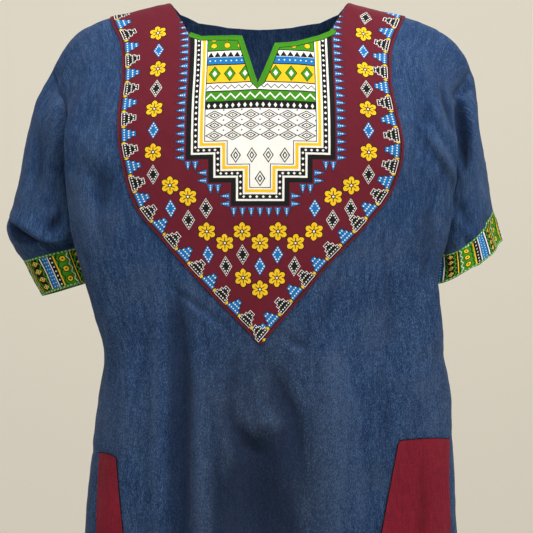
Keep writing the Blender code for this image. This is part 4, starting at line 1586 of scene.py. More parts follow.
@dataclass(frozen=True)
class CuffPattern:
    """The cuffs' print: blocks of figures and stripes between green edges."""

    edge: float = 0.0034
    repeat: float = 0.066
    dash: Point = (0.0013, 0.0007)
    dash_pitch: float = 0.0052

    def paint(self, length: float, height: float) -> Painter:
        """Paint a strip of a length and a height, from its top edge down."""
        paint = Painter(Ink.GREEN)
        count = max(1, round(length / self.repeat))
        step = length / count
        for k in range(count):
            self.repeat_of(paint, k * step, step, -self.edge, -height + self.edge)
        wide, tall = self.dash
        for y in (-self.edge / 2, -height + self.edge / 2):
            paint.block(0.0, length, y + self.edge / 2, y - self.edge / 2, Ink.GREEN)
            for x in middles(0.0, length, round(length / self.dash_pitch)):
                paint.block(x - wide, x + wide, y + tall, y - tall, Ink.WHITE)
        return paint

    def repeat_of(self, paint: Painter, start: float, step: float, top: float, low: float) -> None:
        """Paint one repeat of the strip."""

        def block(left: float, right: float, ink: Ink) -> None:
            """Lay a block between two shares of the repeat."""
            paint.block(start + left * step, start + right * step, top, low, ink)

        def zigzag(share: float, count: int, depth: float, width: float, ink: Ink) -> None:
            """Lay a zigzag up the strip."""
            x = start + share * step
            paint.zigzag((x, low), (x, top), count, depth, width, ink)

        def places(share: float, count: int) -> list[Point]:
            """Return places down the strip, with as much room between as at its edges."""
            return [(start + share * step, y) for y in np.linspace(top, low, 2 * count + 1)[1::2]]

        block(0.00, 0.02, Ink.YELLOW)
        block(0.02, 0.30, Ink.BLACK)
        zigzag(0.07, 5, 0.0030, 0.0022, Ink.GREEN)
        zigzag(0.25, 5, 0.0030, 0.0022, Ink.GREEN)
        for place in places(0.16, 4):
            paint.nest(place, (0.0046, 0.0038, Ink.YELLOW), (0.0026, 0.0021, Ink.BLACK),
                       (0.0014, 0.0012, Ink.WHITE))
        block(0.30, 0.33, Ink.WHITE)
        block(0.33, 0.355, Ink.BLACK)
        block(0.355, 0.50, Ink.COBALT)
        for share in (0.395, 0.460):
            x = start + share * step
            paint.dots((x, top), (x, low), 9, 0.0008, Ink.WHITE)
        block(0.50, 0.52, Ink.WHITE)
        block(0.52, 0.62, Ink.BLACK)
        for place in places(0.570, 7):
            paint.nest(place, (0.0014, 0.0014, Ink.WHITE))
        block(0.62, 0.65, Ink.YELLOW)
        block(0.65, 0.97, Ink.GREEN)
        zigzag(0.69, 4, 0.0032, 0.0018, Ink.BLACK)
        zigzag(0.93, 4, 0.0032, 0.0012, Ink.WHITE)
        for place in places(0.810, 3):
            paint.disc(place, 0.0050, Ink.BLACK, 10)
            paint.disc(place, 0.0038, Ink.YELLOW, 10)
            paint.disc(place, 0.0014, Ink.BLACK)
        block(0.97, 1.00, Ink.BLACK)


# Finishes


class Nodes:
    """Adds nodes to a tree in few words."""

    def __init__(self, tree: Tree) -> None:
        """Work on a tree."""
        self.tree = tree

    def add(self, kind: str, **settings: object) -> Node:
        """Add a node and set its options."""
        node = self.tree.nodes.new(kind)
        for name, value in settings.items():
            setattr(node, name, value)
        return node

    def join(self, source: object, target: Socket) -> None:
        """Link a socket into another, or set a plain value on it."""
        if isinstance(source, Socket):
            self.tree.links.new(source, target)
        else:
            target.default_value = source

    def feed(self, node: Node, *sources: object, **named: object) -> Node:
        """Join sources to a node's first sockets in order, and to named ones."""
        for socket, source in zip(node.inputs, sources):
            self.join(source, socket)
        for name, source in named.items():
            self.join(source, node.inputs[name])
        return node

    def math(self, operation: str, *sources: object) -> Socket:
        """Add a Math node."""
        return self.feed(self.add("ShaderNodeMath", operation=operation), *sources).outputs[0]

    def vector(self, operation: str, *sources: object) -> Socket:
        """Add a Vector Math node."""
        return self.feed(self.add("ShaderNodeVectorMath", operation=operation), *sources).outputs[0]

    def split(self, vector: object) -> Sequence[Socket]:
        """Take a vector apart."""
        return self.feed(self.add("ShaderNodeSeparateXYZ"), vector).outputs

    def total(self, *parts: tuple[object, object], base: object = 0.0) -> Socket:
        """Add up values, each times its own share, on to a base."""
        for value, share in parts:
            base = self.math("MULTIPLY_ADD", value, share, base)
        return base

    def blend(self, share: object, a: object, b: object, how: str = "MIX") -> Socket:
        """Mix two colours."""
        node = self.add("ShaderNodeMix", data_type="RGBA", blend_type=how)
        for index, source in ((0, share), (6, a), (7, b)):
            self.join(source, node.inputs[index])
        return node.outputs[2]

    def noise(self, vector: object, scale: float, detail: float, rough: float = 0.5) -> Socket:
        """Add a Noise texture and return its value."""
        node = self.add("ShaderNodeTexNoise")
        return self.feed(node, Vector=vector, Scale=scale, Detail=detail, Roughness=rough).outputs[0]

    def spread(self, value: object, low: float, high: float) -> Socket:
        """Stretch a value so that low becomes 0 and high becomes 1."""
        node = self.add("ShaderNodeMapRange", clamp=True, interpolation_type="SMOOTHSTEP")
        return self.feed(node, value, low, high).outputs[0]


class Effect(Nodes):
    """A shader node group with named sockets."""

    def __init__(self, name: str, outputs: Sequence[str], place: str, **values: float) -> None:
        """Start the group.

        Args:
            name: The group's name.
            outputs: The names of its outputs.
            place: The name of its vector input.
            values: Its number inputs and what they are by default.
        """
        super().__init__(bpy.data.node_groups.new(name, "ShaderNodeTree"))
        interface = self.tree.interface
        interface.new_socket(name=place, in_out="INPUT", socket_type="NodeSocketVector")
        for label, value in values.items():
            socket = interface.new_socket(name=label, in_out="INPUT", socket_type="NodeSocketFloat")
            socket.default_value = value
        for label in outputs:
            interface.new_socket(name=label, in_out="OUTPUT", socket_type="NodeSocketFloat")
        self.given = self.add("NodeGroupInput").outputs

    def give(self, *results: Socket) -> Tree:
        """Join what the group has made to its outputs."""
        self.feed(self.add("NodeGroupOutput"), *results)
        return self.tree


class Effects:
    """Shader node groups that the cloths share."""

    WEFT_SHARE = 0.45
    FINE_SLUB = (1.0, 1.0, 7.3)
    BROAD_SLUB = (0.16, 0.3, 14.6)
    ROUGH_NOISE = 0.6
    MOTTLE_SCALE = 0.23

    def __init__(self) -> None:
        """Build the groups once."""
        self.weave = self.make_weave()
        self.slub = self.make_slub()
        self.crumple = self.make_crumple()

    def make_weave(self) -> Tree:
        """Build the thread relief of a plain or twill weave."""
        make = Effect("cloth_weave", ["Height"], "Flat", Pitch=0.0006, Slant=0.6)
        across, up, _ = make.split(make.given["Flat"])
        turns = make.math("DIVIDE", 2 * math.pi, make.given["Pitch"])
        leaned = make.math("MULTIPLY_ADD", up, make.given["Slant"], across)
        warp = make.math("SINE", make.math("MULTIPLY", leaned, turns))
        weft = make.math("SINE", make.math("MULTIPLY", up, turns))
        return make.give(make.math("MULTIPLY_ADD", weft, self.WEFT_SHARE, warp))

    def make_slub(self) -> Tree:
        """Build the uneven threads of a yarn-dyed cloth, fine ones and broad ones."""
        make = Effect("cloth_slub", ["Fine", "Broad"], "Flat", Across=1000.0, Along=30.0)
        x, y, _ = make.split(make.given["Flat"])
        made = []
        for aside, down, layer in (self.FINE_SLUB, self.BROAD_SLUB):
            across = make.math("MULTIPLY", x, make.math("MULTIPLY", make.given["Across"], aside))
            along = make.math("MULTIPLY", y, make.math("MULTIPLY", make.given["Along"], down))
            place = make.feed(make.add("ShaderNodeCombineXYZ"), across, along, layer)
            made.append(make.noise(place.outputs[0], 1.0, 3.0, self.ROUGH_NOISE))
        return make.give(*made)

    def make_crumple(self) -> Tree:
        """Build the small soft crumples of washed cloth."""
        make = Effect("cloth_crumple", ["Height", "Mottle"], "Place", Size=60.0)
        sized = make.add("ShaderNodeVectorMath", operation="SCALE")
        place = make.feed(sized, make.given["Place"], Scale=make.given["Size"]).outputs[0]
        return make.give(make.noise(place, 1.0, 3.0), make.noise(place, self.MOTTLE_SCALE, 2.0))


class Fabric(Nodes):
    """A cloth's material under way, with the shared effects at hand."""

    SPECULAR = 0.12

    def __init__(self, name: str, effects: Effects) -> None:
        """Start the material."""
        self.material = bpy.data.materials.new(name)
        self.material.use_nodes = True
        super().__init__(self.material.node_tree)
        self.effects = effects
        self.shader = self.tree.nodes["Principled BSDF"]
        self.flat = self.add("ShaderNodeUVMap", uv_map="flat").outputs[0]
        self.place = self.add("ShaderNodeTexCoord").outputs["Object"]

    def stored(self, name: str, output: str = "Fac") -> Socket:
        """Read a value that the mesh stores."""
        return self.add("ShaderNodeAttribute", attribute_name=name).outputs[output]

    def effect(self, group: Tree, **values: object) -> Sequence[Socket]:
        """Place a shared effect with its own values."""
        return self.feed(self.add("ShaderNodeGroup", node_tree=group), **values).outputs

    def slub(self, across: float, along: float) -> Sequence[Socket]:
        """Place uneven threads, so many to a metre each way."""
        return self.effect(self.effects.slub, Flat=self.flat, Across=across, Along=along)

    def weave(self, pitch: float, slant: float = 0.0) -> Socket:
        """Place the weave's relief."""
        return self.effect(self.effects.weave, Flat=self.flat, Pitch=pitch, Slant=slant)[0]

    def crumple(self, size: float) -> Sequence[Socket]:
        """Place the small crumples, so many to a metre."""
        return self.effect(self.effects.crumple, Place=self.place, Size=size)

    def finish(self, colour: Socket, relief: Socket, depth: float, strength: float,
               **gloss: object) -> Material:
        """Give the cloth its colour, relief and gloss.

        Args:
            colour: Its colour.
            relief: The height of its threads and crumples.
            depth: How deep a height of 1 is, in metres.
            strength: How strongly the relief shows.
            gloss: Values of the shader's own sockets, with _ for a space.

        Returns:
            The finished material.
        """
        bump = self.feed(self.add("ShaderNodeBump"), Height=relief, Distance=depth, Strength=strength)
        sockets = self.shader.inputs
        self.join(colour, sockets["Base Color"])
        self.join(bump.outputs[0], sockets["Normal"])
        sockets["Specular IOR Level"].default_value = self.SPECULAR
        for name, value in gloss.items():
            sockets[name.replace("_", " ")].default_value = value
        return self.material


@dataclass(frozen=True)
class DenimFinish:
    """Light denim: a twill with upright slub streaks, with rubbing and painted light on its crease ridges
    and painted shade in its crease hollows.
    """

    deep: Colour = (0.004, 0.013, 0.044, 1.0)
    mid: Colour = (0.0130, 0.0410, 0.1150, 1.0)
    pale: Colour = (0.088, 0.150, 0.262, 1.0)
    tone_places: Place = (0.08, 0.42, 0.98)
    # lit_and_rubbed pales the crease ridges as rubbing and painted light; sunk darkens the crease hollows
    # as painted shade.
    lit_and_rubbed: Colour = (0.057, 0.093, 0.174, 1.0)
    faded: Colour = (0.040, 0.056, 0.100, 1.0)
    sunk: Colour = (0.005, 0.012, 0.037, 1.0)
    # A darker, greyer patch in the middle of the lower skirt.
    middle_grey: Colour = (0.023, 0.029, 0.044, 1.0)
    lit_and_rubbed_share: float = 0.6
    faded_share: float = 0.26
    trough_shade_share: float = 0.66
    threads_share: float = 0.18
    middle_grey_share: float = 0.70
    middle_grey_evenly: float = 1.12
    lit_and_rubbed_evenly: float = 0.25
    broad_share: float = 0.16
    lower_share: float = -0.11
    upright_share: float = 0.27
    mottle_share: float = 0.22
    grain_share: float = 0.32
    lower_grain_share: float = 0.24
    relief_shares: Place = (0.16, 0.8, 2.2)
    fine_range: Point = (0.38, 0.70)
    broad_range: Point = (0.30, 0.70)
    upright_range: Point = (0.28, 0.72)
    faded_range: Point = (0.45, 0.72)
    lit_and_rubbed_range: Point = (0.50, 1.0)
    threads_range: Point = (0.52, 0.74)
    trough_shade_range: Point = (0.0, 0.50)
    middle_grey_range: Point = (0.0, 0.7)
    grainy_from: float = -0.26
    grainy_below: float = -0.42
    middle_grey_at: Place = (0.005, -0.125, -0.640)
    middle_grey_reach: Place = (0.128, 0.100, 0.300)
    slub_pitches: Point = (900.0, 90.0)
    fleck_pitches: Point = (1500.0, 420.0)
    crumple_size: float = 70.0
    twill_pitch: float = 0.0007
    twill_slant: float = 0.6
    relief_depth: float = 0.0006
    relief_strength: float = 0.55

    def material(self, effects: Effects) -> Material:
        """Build the material."""
        make = Fabric("denim", effects)
        wear = make.stored("wear")
        slub, slub_broad = make.slub(*self.slub_pitches)
        fleck, _ = make.slub(*self.fleck_pitches)
        weave = make.weave(self.twill_pitch, self.twill_slant)
        crumple, mottle = make.crumple(self.crumple_size)
        fine = make.spread(fleck, *self.fine_range)
        broad = make.spread(slub_broad, *self.broad_range)
        upright = make.spread(slub, *self.upright_range)
        lower = make.spread(make.split(make.place)[2], self.grainy_from, self.grainy_below)
        grain = make.math("MULTIPLY_ADD", lower, self.lower_grain_share, self.grain_share)
        tone = make.total(
            (broad, self.broad_share), (lower, self.lower_share), (fine, grain),
            (upright, self.upright_share), (mottle, self.mottle_share))
        colour = self.tones(make, tone)
        fading = make.math("MULTIPLY", make.spread(mottle, *self.faded_range), self.faded_share)
        colour = make.blend(fading, colour, self.faded)
        # Crease ridges paler, as rubbed cloth and painted light.
        lighting_and_rubbing = make.spread(wear, *self.lit_and_rubbed_range)
        lighting_and_rubbing = make.math("MULTIPLY", lighting_and_rubbing, make.math("ADD", fine, self.lit_and_rubbed_evenly))
        colour = make.blend(make.math("MULTIPLY", lighting_and_rubbing, self.lit_and_rubbed_share), colour, self.lit_and_rubbed)
        colour = make.blend(self.middle_greying(make, fine), colour, self.middle_grey)
        threads = make.math("MULTIPLY", make.spread(fleck, *self.threads_range), lower)
        colour = make.blend(make.math("MULTIPLY", threads, self.threads_share), colour, self.pale)
        # Crease hollows darker, as painted shade.
        trough_shading = make.math("SUBTRACT", 1.0, make.spread(wear, *self.trough_shade_range))
        colour = make.blend(make.math("MULTIPLY", trough_shading, self.trough_shade_share), colour, self.sunk)
        relief = make.total(*zip((weave, slub, crumple), self.relief_shares))
        return make.finish(
            colour, relief, self.relief_depth, self.relief_strength,
            Roughness=0.84, Sheen_Weight=0.12, Sheen_Roughness=0.45, Sheen_Tint=(0.55, 0.62, 0.85, 1.0))

    def tones(self, make: Fabric, tone: Socket) -> Socket:
        """Turn a tone into the blue from deep to pale."""
        node = make.feed(make.add("ShaderNodeValToRGB"), tone)
        ramp = node.color_ramp.elements
        ramp[0].position, _, ramp[1].position = self.tone_places
        ramp[0].color, ramp[1].color = self.deep, self.pale
        ramp.new(self.tone_places[1]).color = self.mid
        return node.outputs[0]

    def middle_greying(self, make: Fabric, fine: Socket) -> Socket:
        """Find the darker, greyer place in the middle of the skirt, between the paler threads."""
        away = make.vector("DIVIDE", make.vector("SUBTRACT", make.place, self.middle_grey_at), self.middle_grey_reach)
        near = make.feed(make.add("ShaderNodeTexGradient", gradient_type="SPHERICAL"), away)
        between = make.math("MULTIPLY", make.math("SUBTRACT", self.middle_grey_evenly, fine), self.middle_grey_share)
        return make.math("MULTIPLY", make.spread(near.outputs[1], *self.middle_grey_range), between)


@dataclass(frozen=True)
class PrintFinish:
    """Printed cotton: its colours lie on the cloth as an "ink" colour."""

    name: str
    depth: float
    slub_pitches: Point = (1500.0, 160.0)
    crumple_size: float = 80.0
    pitch: float = 0.00045
    slub_share: float = 0.30
    mottle_share: float = 0.12
    relief_shares: Place = (0.14, 0.5, 1.6)
    relief_depth: float = 0.0005
    relief_strength: float = 0.45

    def material(self, effects: Effects) -> Material:
        """Build the material."""
        make = Fabric(self.name, effects)
        slub, _ = make.slub(*self.slub_pitches)
        weave = make.weave(self.pitch)
        crumple, mottle = make.crumple(self.crumple_size)
        shade = make.total((slub, self.slub_share), (mottle, self.mottle_share), base=self.depth)
        grey = make.feed(make.add("ShaderNodeCombineColor"), shade, shade, shade).outputs[0]
        colour = make.blend(1.0, make.stored("ink", "Color"), grey, "MULTIPLY")
        relief = make.total(*zip((weave, slub, crumple), self.relief_shares))
        return make.finish(
            colour, relief, self.relief_depth, self.relief_strength, Roughness=0.82, Sheen_Weight=0.03)


@dataclass(frozen=True)
class PlainFinish:
    """Plain burgundy cotton with uneven threads both ways."""

    deep: Colour = (0.112, 0.005, 0.013, 1.0)
    pale: Colour = (0.270, 0.014, 0.040, 1.0)
    upright_pitches: Point = (900.0, 60.0)
    level_pitches: Point = (50.0, 800.0)
    fleck_pitches: Point = (1300.0, 520.0)
    crumple_size: float = 75.0
    pitch: float = 0.0005
    threads_shares: Point = (0.25, 0.75)
    threads_range: Point = (0.30, 0.70)
    fleck_range: Point = (0.36, 0.70)
    tone_shares: tuple[float, ...] = (0.5, 0.42, 0.26, 1.0)
    tone_base: float = -0.58
    relief_shares: tuple[float, ...] = (0.15, 0.6, 0.2, 2.0)
    relief_depth: float = 0.0005
    relief_strength: float = 0.5

    def material(self, effects: Effects) -> Material:
        """Build the material."""
        make = Fabric("pocket_cotton", effects)
        upright, _ = make.slub(*self.upright_pitches)
        level, _ = make.slub(*self.level_pitches)
        fleck, _ = make.slub(*self.fleck_pitches)
        weave = make.weave(self.pitch)
        crumple, mottle = make.crumple(self.crumple_size)
        threads = make.total(*zip((level, upright), self.threads_shares))
        threads = make.spread(threads, *self.threads_range)
        fleck = make.spread(fleck, *self.fleck_range)
        # The stored value paints the pocket paler on crease ridges as light and darker in hollows as shade.
        wear = make.stored("wear")
        tone = make.total(
            *zip((threads, fleck, mottle, wear), self.tone_shares), base=self.tone_base)
        cotton = make.blend(tone, self.deep, self.pale)
        colour = make.blend(1.0, cotton, make.stored("ink", "Color"), "MULTIPLY")
        relief = make.total(*zip((weave, upright, level, crumple), self.relief_shares))
        return make.finish(
            colour, relief, self.relief_depth, self.relief_strength, Roughness=0.80, Sheen_Weight=0.04)


# Sewing thread: its twist to a metre, and how much paler its twist shows
THREAD_TWIST = 900.0
THREAD_PALER = 1.7
THREAD_ROUGHNESS = 0.6


class Thread(Enum):
    """A colour of sewing thread, as linear light."""

    NAVY = (0.014, 0.030, 0.075, 1.0)
    WINE = (0.070, 0.006, 0.014, 1.0)
    LEAF = (0.030, 0.150, 0.012, 1.0)

    def material(self, effects: Effects) -> Material:
        """Build the thread's material."""
        make = Fabric("thread_" + self.name.lower(), effects)
        twist, _ = make.crumple(THREAD_TWIST)
        paler = tuple(min(1.0, c * THREAD_PALER) for c in self.value[:3]) + (1.0,)
        make.join(make.blend(twist, self.value, paler), make.shader.inputs["Base Color"])
        make.shader.inputs["Roughness"].default_value = THREAD_ROUGHNESS
        return make.material


# Dressing the pieces


def surface_at(cloth: BodyCloth, flat: Array) -> tuple[Array, Array]:
    """Read a body panel's smooth surface at flat points.

    Args:
        cloth: The panel.
        flat: Points on its cut cloth, in metres.

    Returns:
        The points in space and which way the cloth faces there.
    """
    def read(across: float, up: float) -> Array:
        """Read the surface a little to one side, still on the cloth."""
        moved = flat + np.array([across, up])
        moved[:, 1] = np.minimum(moved[:, 1], 0.0)
        places = cloth.cut.take_up(moved)
        return cloth.form.point(places[:, 0], places[:, 1])

    aside = read(SLOPE_STEP, 0.0) - read(-SLOPE_STEP, 0.0)
    down = read(0.0, -SLOPE_STEP) - read(0.0, SLOPE_STEP)
    normals = unit(np.cross(down, aside)) * -cloth.face.side
    return read(0.0, 0.0), normals


class Tailor:
    """Brings smooth cloth into its creased form."""

    BROAD_WAVE = 0.060
    BROAD_HEIGHT = 0.0008
    FINE_WAVE = 0.018
    FINE_HEIGHT = 0.00022
    # Crease heights, around an even middle, paint ridges paler as light and hollows darker as shade;
    # EDGE_WEAR is real rubbing along the seams.
    FULL_SHADING_HEIGHT = 0.012
    EVEN_WEAR_AND_SHADING = 0.5
    EDGE_WEAR = 0.22

    def __init__(self, drape: Drape) -> None:
        """Work with a set of creases."""
        self.drape = drape

    def move(self, points: Array, normals: Array) -> tuple[Array, Array]:
        """Move smooth points, and tell how far each stands out."""
        shift, height = self.drape.shift(points, normals)
        swell = ripple(points, 3, self.BROAD_WAVE, self.BROAD_HEIGHT)
        swell = swell + ripple(points, 8, self.FINE_WAVE, self.FINE_HEIGHT)
        return points + shift + normals * swell[:, None], height + swell

    def settle(self, layer: Layer, kept: Optional[Array] = None,
               sunk: Optional[Array] = None) -> Layer:
        """Move a layer into its creases.

        Args:
            layer: The smooth layer.
            kept: Which points keep their smooth normals, as at seams.
            sunk: How far each point is pressed in by what lies on it.

        Returns:
            The creased layer.
        """
        points, height = self.move(layer.points, layer.normals)
        if sunk is not None:
            points = points - layer.normals * sunk[:, None]
        normals = corner_normals(points, layer.faces)
        if kept is not None:
            normals[kept] = layer.normals[kept]
        # Painted light on ridges, painted shade in hollows, and real rubbing along the seams.
        lit_and_rubbed = self.EVEN_WEAR_AND_SHADING + height / self.FULL_SHADING_HEIGHT + self.EDGE_WEAR * layer.wear
        wear = np.clip(lit_and_rubbed, 0.0, 1.0)
        return Layer(points, layer.faces, normals, layer.flat, wear)


def ink_in(piece: Piece, colours: Array, rim: Ink) -> None:
    """Store the print's colours on a thickened piece, the same on both sides."""
    mesh = piece.data
    rims = np.tile(np.array(rim.value), (len(mesh.polygons) - 2 * len(colours), 1))
    corners = np.repeat(joined(colours, colours, rims), 3, axis=0)
    values = joined(corners.T, np.ones((1, len(corners)))).T
    ink = mesh.color_attributes.new(name="ink", type="FLOAT_COLOR", domain="CORNER")
    ink.data.foreach_set("color", values.astype(np.float32).ravel())


class Stitching(Nodes):
    """Rows of thread, laid along lines by Geometry Nodes."""

    PITCH = 0.0030
    LENGTH = 0.0025
    THICKNESS = 0.0005
    UNEVEN = (0.86, 1.08)

    def __init__(self) -> None:
        """Build the node group once."""
        super().__init__(bpy.data.node_groups.new("stitch_row", "GeometryNodeTree"))
        interface = self.tree.interface
        interface.new_socket(name="Geometry", in_out="INPUT", socket_type="NodeSocketGeometry")
        self.sockets = {}
        for name, kind in (("Pitch", "Float"), ("Length", "Float"), ("Thickness", "Float"),
                           ("Seed", "Int"), ("Thread", "Material")):
            socket = interface.new_socket(name=name, in_out="INPUT", socket_type="NodeSocket" + kind)
            self.sockets[name] = socket.identifier
        interface.new_socket(name="Geometry", in_out="OUTPUT", socket_type="NodeSocketGeometry")
        self.build()

    def build(self) -> None:
        """Resample the line, set a stitch on each point and make it real."""
        given = self.add("NodeGroupInput").outputs
        curve = self.feed(self.add("GeometryNodeMeshToCurve"), given["Geometry"]).outputs[0]
        even = self.add("GeometryNodeResampleCurve", mode="LENGTH")
        self.feed(even, Curve=curve, Length=given["Pitch"])
        ball = self.feed(self.add("GeometryNodeMeshIcoSphere"), Radius=0.5, Subdivisions=2)
        tangent = self.add("GeometryNodeInputTangent").outputs[0]
        align = self.feed(self.add("FunctionNodeAlignRotationToVector", axis="Z"), Vector=tangent)
        vary = self.feed(self.add("FunctionNodeRandomValue"), Seed=given["Seed"])
        vary.inputs[2].default_value, vary.inputs[3].default_value = self.UNEVEN
        length = self.math("MULTIPLY", vary.outputs[1], given["Length"])
        thick = given["Thickness"]
        size = self.feed(self.add("ShaderNodeCombineXYZ"), thick, thick, length)
        place = self.feed(
            self.add("GeometryNodeInstanceOnPoints"), Points=even.outputs[0], Instance=ball.outputs[0],
            Rotation=align.outputs[0], Scale=size.outputs[0])
        real = self.feed(self.add("GeometryNodeRealizeInstances"), place.outputs[0]).outputs[0]
        finish = self.feed(self.add("GeometryNodeSetMaterial"), Geometry=real, Material=given["Thread"])
        self.feed(self.add("NodeGroupOutput"), finish.outputs[0])

    def sew(self, name: str, lines: Sequence[Array], thread: Material) -> Piece:
        """Sew rows of stitches along lines in space.

        Args:
            name: The new piece's name.
            lines: The rows, each an open line of points.
            thread: The thread's material.

        Returns:
            The piece, with its stitches made real.
        """
        points = joined(*lines)
        edges, start = [], 0
        for line in lines:
            edges += [(start + k, start + k + 1) for k in range(len(line) - 1)]
            start += len(line)
        mesh = bpy.data.meshes.new(name + "_line")
        mesh.from_pydata(points.tolist(), edges, [])
        piece = placed(name, mesh)
        modifier = piece.modifiers.new("stitches", "NODES")
        modifier.node_group = self.tree
        values = {"Pitch": self.PITCH, "Length": self.LENGTH, "Thickness": self.THICKNESS,
                  "Seed": len(points), "Thread": thread}
        for label, value in values.items():
            modifier[self.sockets[label]] = value
        bpy.context.view_layer.update()
        graph = bpy.context.evaluated_depsgraph_get()
        made = bpy.data.meshes.new_from_object(piece.evaluated_get(graph))
        piece.modifiers.clear()
        piece.data = made
        made.name = name
        made.shade_smooth()
        return piece


class Dress:
    """Builds, finishes and attaches every piece of the dress, hiding the solids they stand for."""

    COTTON_RISE = 0.0004
    SINK = 0.0006
    SINK_EDGE = 0.004
    STITCH_IN = 0.0022
    STITCH_STEP = 0.003
    CUFF_ROW_IN = 0.0018
    CUFF_ROW_STEP = 0.002
    POCKET_ROWS = (0.0020, 0.0075)
    HEM_ROWS = (0.0, 0.004)
    HEM_DEPTH = 0.018
    HEM_ENDS = 0.002
    THREAD_RISE = 0.0002
    THREAD_ON_COTTON = 0.0001
    PRINT_CELL = 0.0048
    CUFF_CELL = 0.0045
    OUTLINE_STEP = 0.004
    MOUTH_SHADOW = 0.0010
    FOLD_SHADING = 125.0
    SLEEVE_SEAM = (0.003, 0.004)

    def __init__(self) -> None:
        """Lay out the cloth of the whole garment."""
        self.front = BodyCloth(Face.FRONT, FRONT_NECK)
        self.back = BodyCloth(Face.BACK, BACK_NECK)
        self.sleeves = {hand: SleeveForm(hand, self.front, self.back) for hand in Hand}
        surface = [cloth.layer.points for cloth in (self.front, self.back)]
        normals = [cloth.layer.normals for cloth in (self.front, self.back)]
        for form in self.sleeves.values():
            surface += [form.sleeve.points(), form.cuff.points()]
            normals += [form.sleeve_normals, form.cuff_normals]
        self.tailor = Tailor(Drape(ALL_CREASES, joined(*surface), joined(*normals)))
        effects = Effects()
        self.denim = DenimFinish().material(effects)
        self.yoke_print = PrintFinish("yoke_print", 0.57).material(effects)
        self.cuff_print = PrintFinish("cuff_print", 0.47).material(effects)
        self.cotton = PlainFinish().material(effects)
        self.threads = {thread: thread.material(effects) for thread in Thread}
        self.stitching = Stitching()
        self.yoke_edge = self.lay_yoke_edge()

    def declare(self, piece: Piece, node: str, material: Material) -> None:
        """Finish a piece and let it stand for its solid."""
        piece.data.materials.append(material)
        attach(piece, "root")
        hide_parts(node)
        log.info("%s: %d triangles", piece.name, len(piece.data.polygons))

    def sew(self, name: str, lines: Sequence[Array], thread: Thread, slot: str) -> Piece:
        """Sew rows of stitches and let them ride with the dress."""
        piece = self.stitching.sew(name, lines, self.threads[thread])
        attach(piece, "root")
        log.info("%s: %d triangles", name, len(piece.data.polygons))
        return piece

    def over(self, cloth: BodyCloth, flat: Array, rise: float) -> Array:
        """Place a flat line on a creased panel, some way above it."""
        points, normals = surface_at(cloth, flat)
        moved, _ = self.tailor.move(points, normals)
        return moved + normals * rise

    def lay_yoke_edge(self) -> Array:
        """Return the yoke's cut edge on the flat front, left shoulder first."""
        front = self.front
        down = joined(front.shoulder(-YOKE_LEFT_REACH), front.laid_out([*YOKE_LEFT, YOKE_TIP]))
        up = joined(front.laid_out([YOKE_TIP, *YOKE_RIGHT[::-1]]), front.shoulder(YOKE_RIGHT_REACH))
        down, up = (fill_in(Drape.rounded(half), self.PRINT_CELL) for half in (down, up))
        return joined(down, up[1:])

    def pocket_line(self, hand: Hand) -> Array:
        """Return a pocket's closed outline on the flat front."""
        mouth = self.pocket_mouth(hand)
        rest = self.front.laid_out([POCKETS[hand].low_outer, POCKETS[hand].side])
        return fill_in(joined(mouth, rest, mouth[:1]), self.OUTLINE_STEP)[:-1]

    def pocket_mouth(self, hand: Hand) -> Array:
        """Return a pocket's top and slanted edges on the flat front."""
        outer, inner, low = self.front.laid_out(POCKETS[hand][:3])
        before = inner + unit(outer - inner) * POCKET_CORNER
        after = inner + unit(low - inner) * POCKET_CORNER
        t = np.linspace(0, 1, 6)[:, None]
        turn = before * (1 - t) ** 2 + inner * 2 * t * (1 - t) + after * t ** 2
        crown = unit(inner - low) * np.linalg.norm(outer - inner) * POCKET_CROWN
        top = outer + (before - outer) * t + crown * 4 * t * (1 - t)
        return joined(top[:-1], turn, [low])

    def yoke_outline(self) -> Array:
        """Return the yoke's closed outline on the flat front."""
        edge, neck = self.yoke_edge, self.front.neck
        right = fill_in([edge[-1], neck[-1]], self.PRINT_CELL)[1:]
        left = fill_in([neck[0], edge[0]], self.PRINT_CELL)[1:-1]
        return joined(edge, right, neck[::-1][1:], left)

    def sunk(self, flat: Array) -> Array:
        """Press the front in where the yoke and pockets lie on it."""
        depths = np.zeros(len(flat))
        for outline in (self.yoke_outline(), *(self.pocket_line(hand) for hand in Hand)):
            under = np.flatnonzero(inside(outline, flat))
            depth = line_distance(flat[under], closed(outline))
            depths[under] = self.SINK * ease(depth / self.SINK_EDGE)
        return depths

    def make_panels(self) -> None:
        """Make the front and back panels with their hems."""
        for cloth in (self.front, self.back):
            layer, name = cloth.layer, cloth.face.value
            across, drop = cloth.places.T
            kept = cloth.at_top | (np.abs(across) > 1 - EDGE_SHARE)
            # The solid's folds too paint their ridges paler as light and their valleys darker as shade.
            layer.wear = layer.wear + self.FOLD_SHADING * cloth.form.fold_height(across, drop)
            sunk = self.sunk(layer.flat) if cloth is self.front else None
            piece = thicken("cloth_" + name, self.tailor.settle(layer, kept, sunk), DENIM)
            self.declare(piece, name, self.denim)
            hem = self.sew("hem_stitches_" + name, self.hem_rows(cloth), Thread.NAVY, "denim")

    def hem_rows(self, cloth: BodyCloth) -> list[Array]:
        """Return the stitch lines over a panel's turned hem."""
        half, low = cloth.cut.half - self.HEM_ENDS, -cloth.cut.length + self.HEM_DEPTH
        lines = ([(-half, low + lift), (half, low + lift)] for lift in self.HEM_ROWS)
        return [self.over(cloth, fill_in(line, self.STITCH_STEP), self.THREAD_RISE) for line in lines]

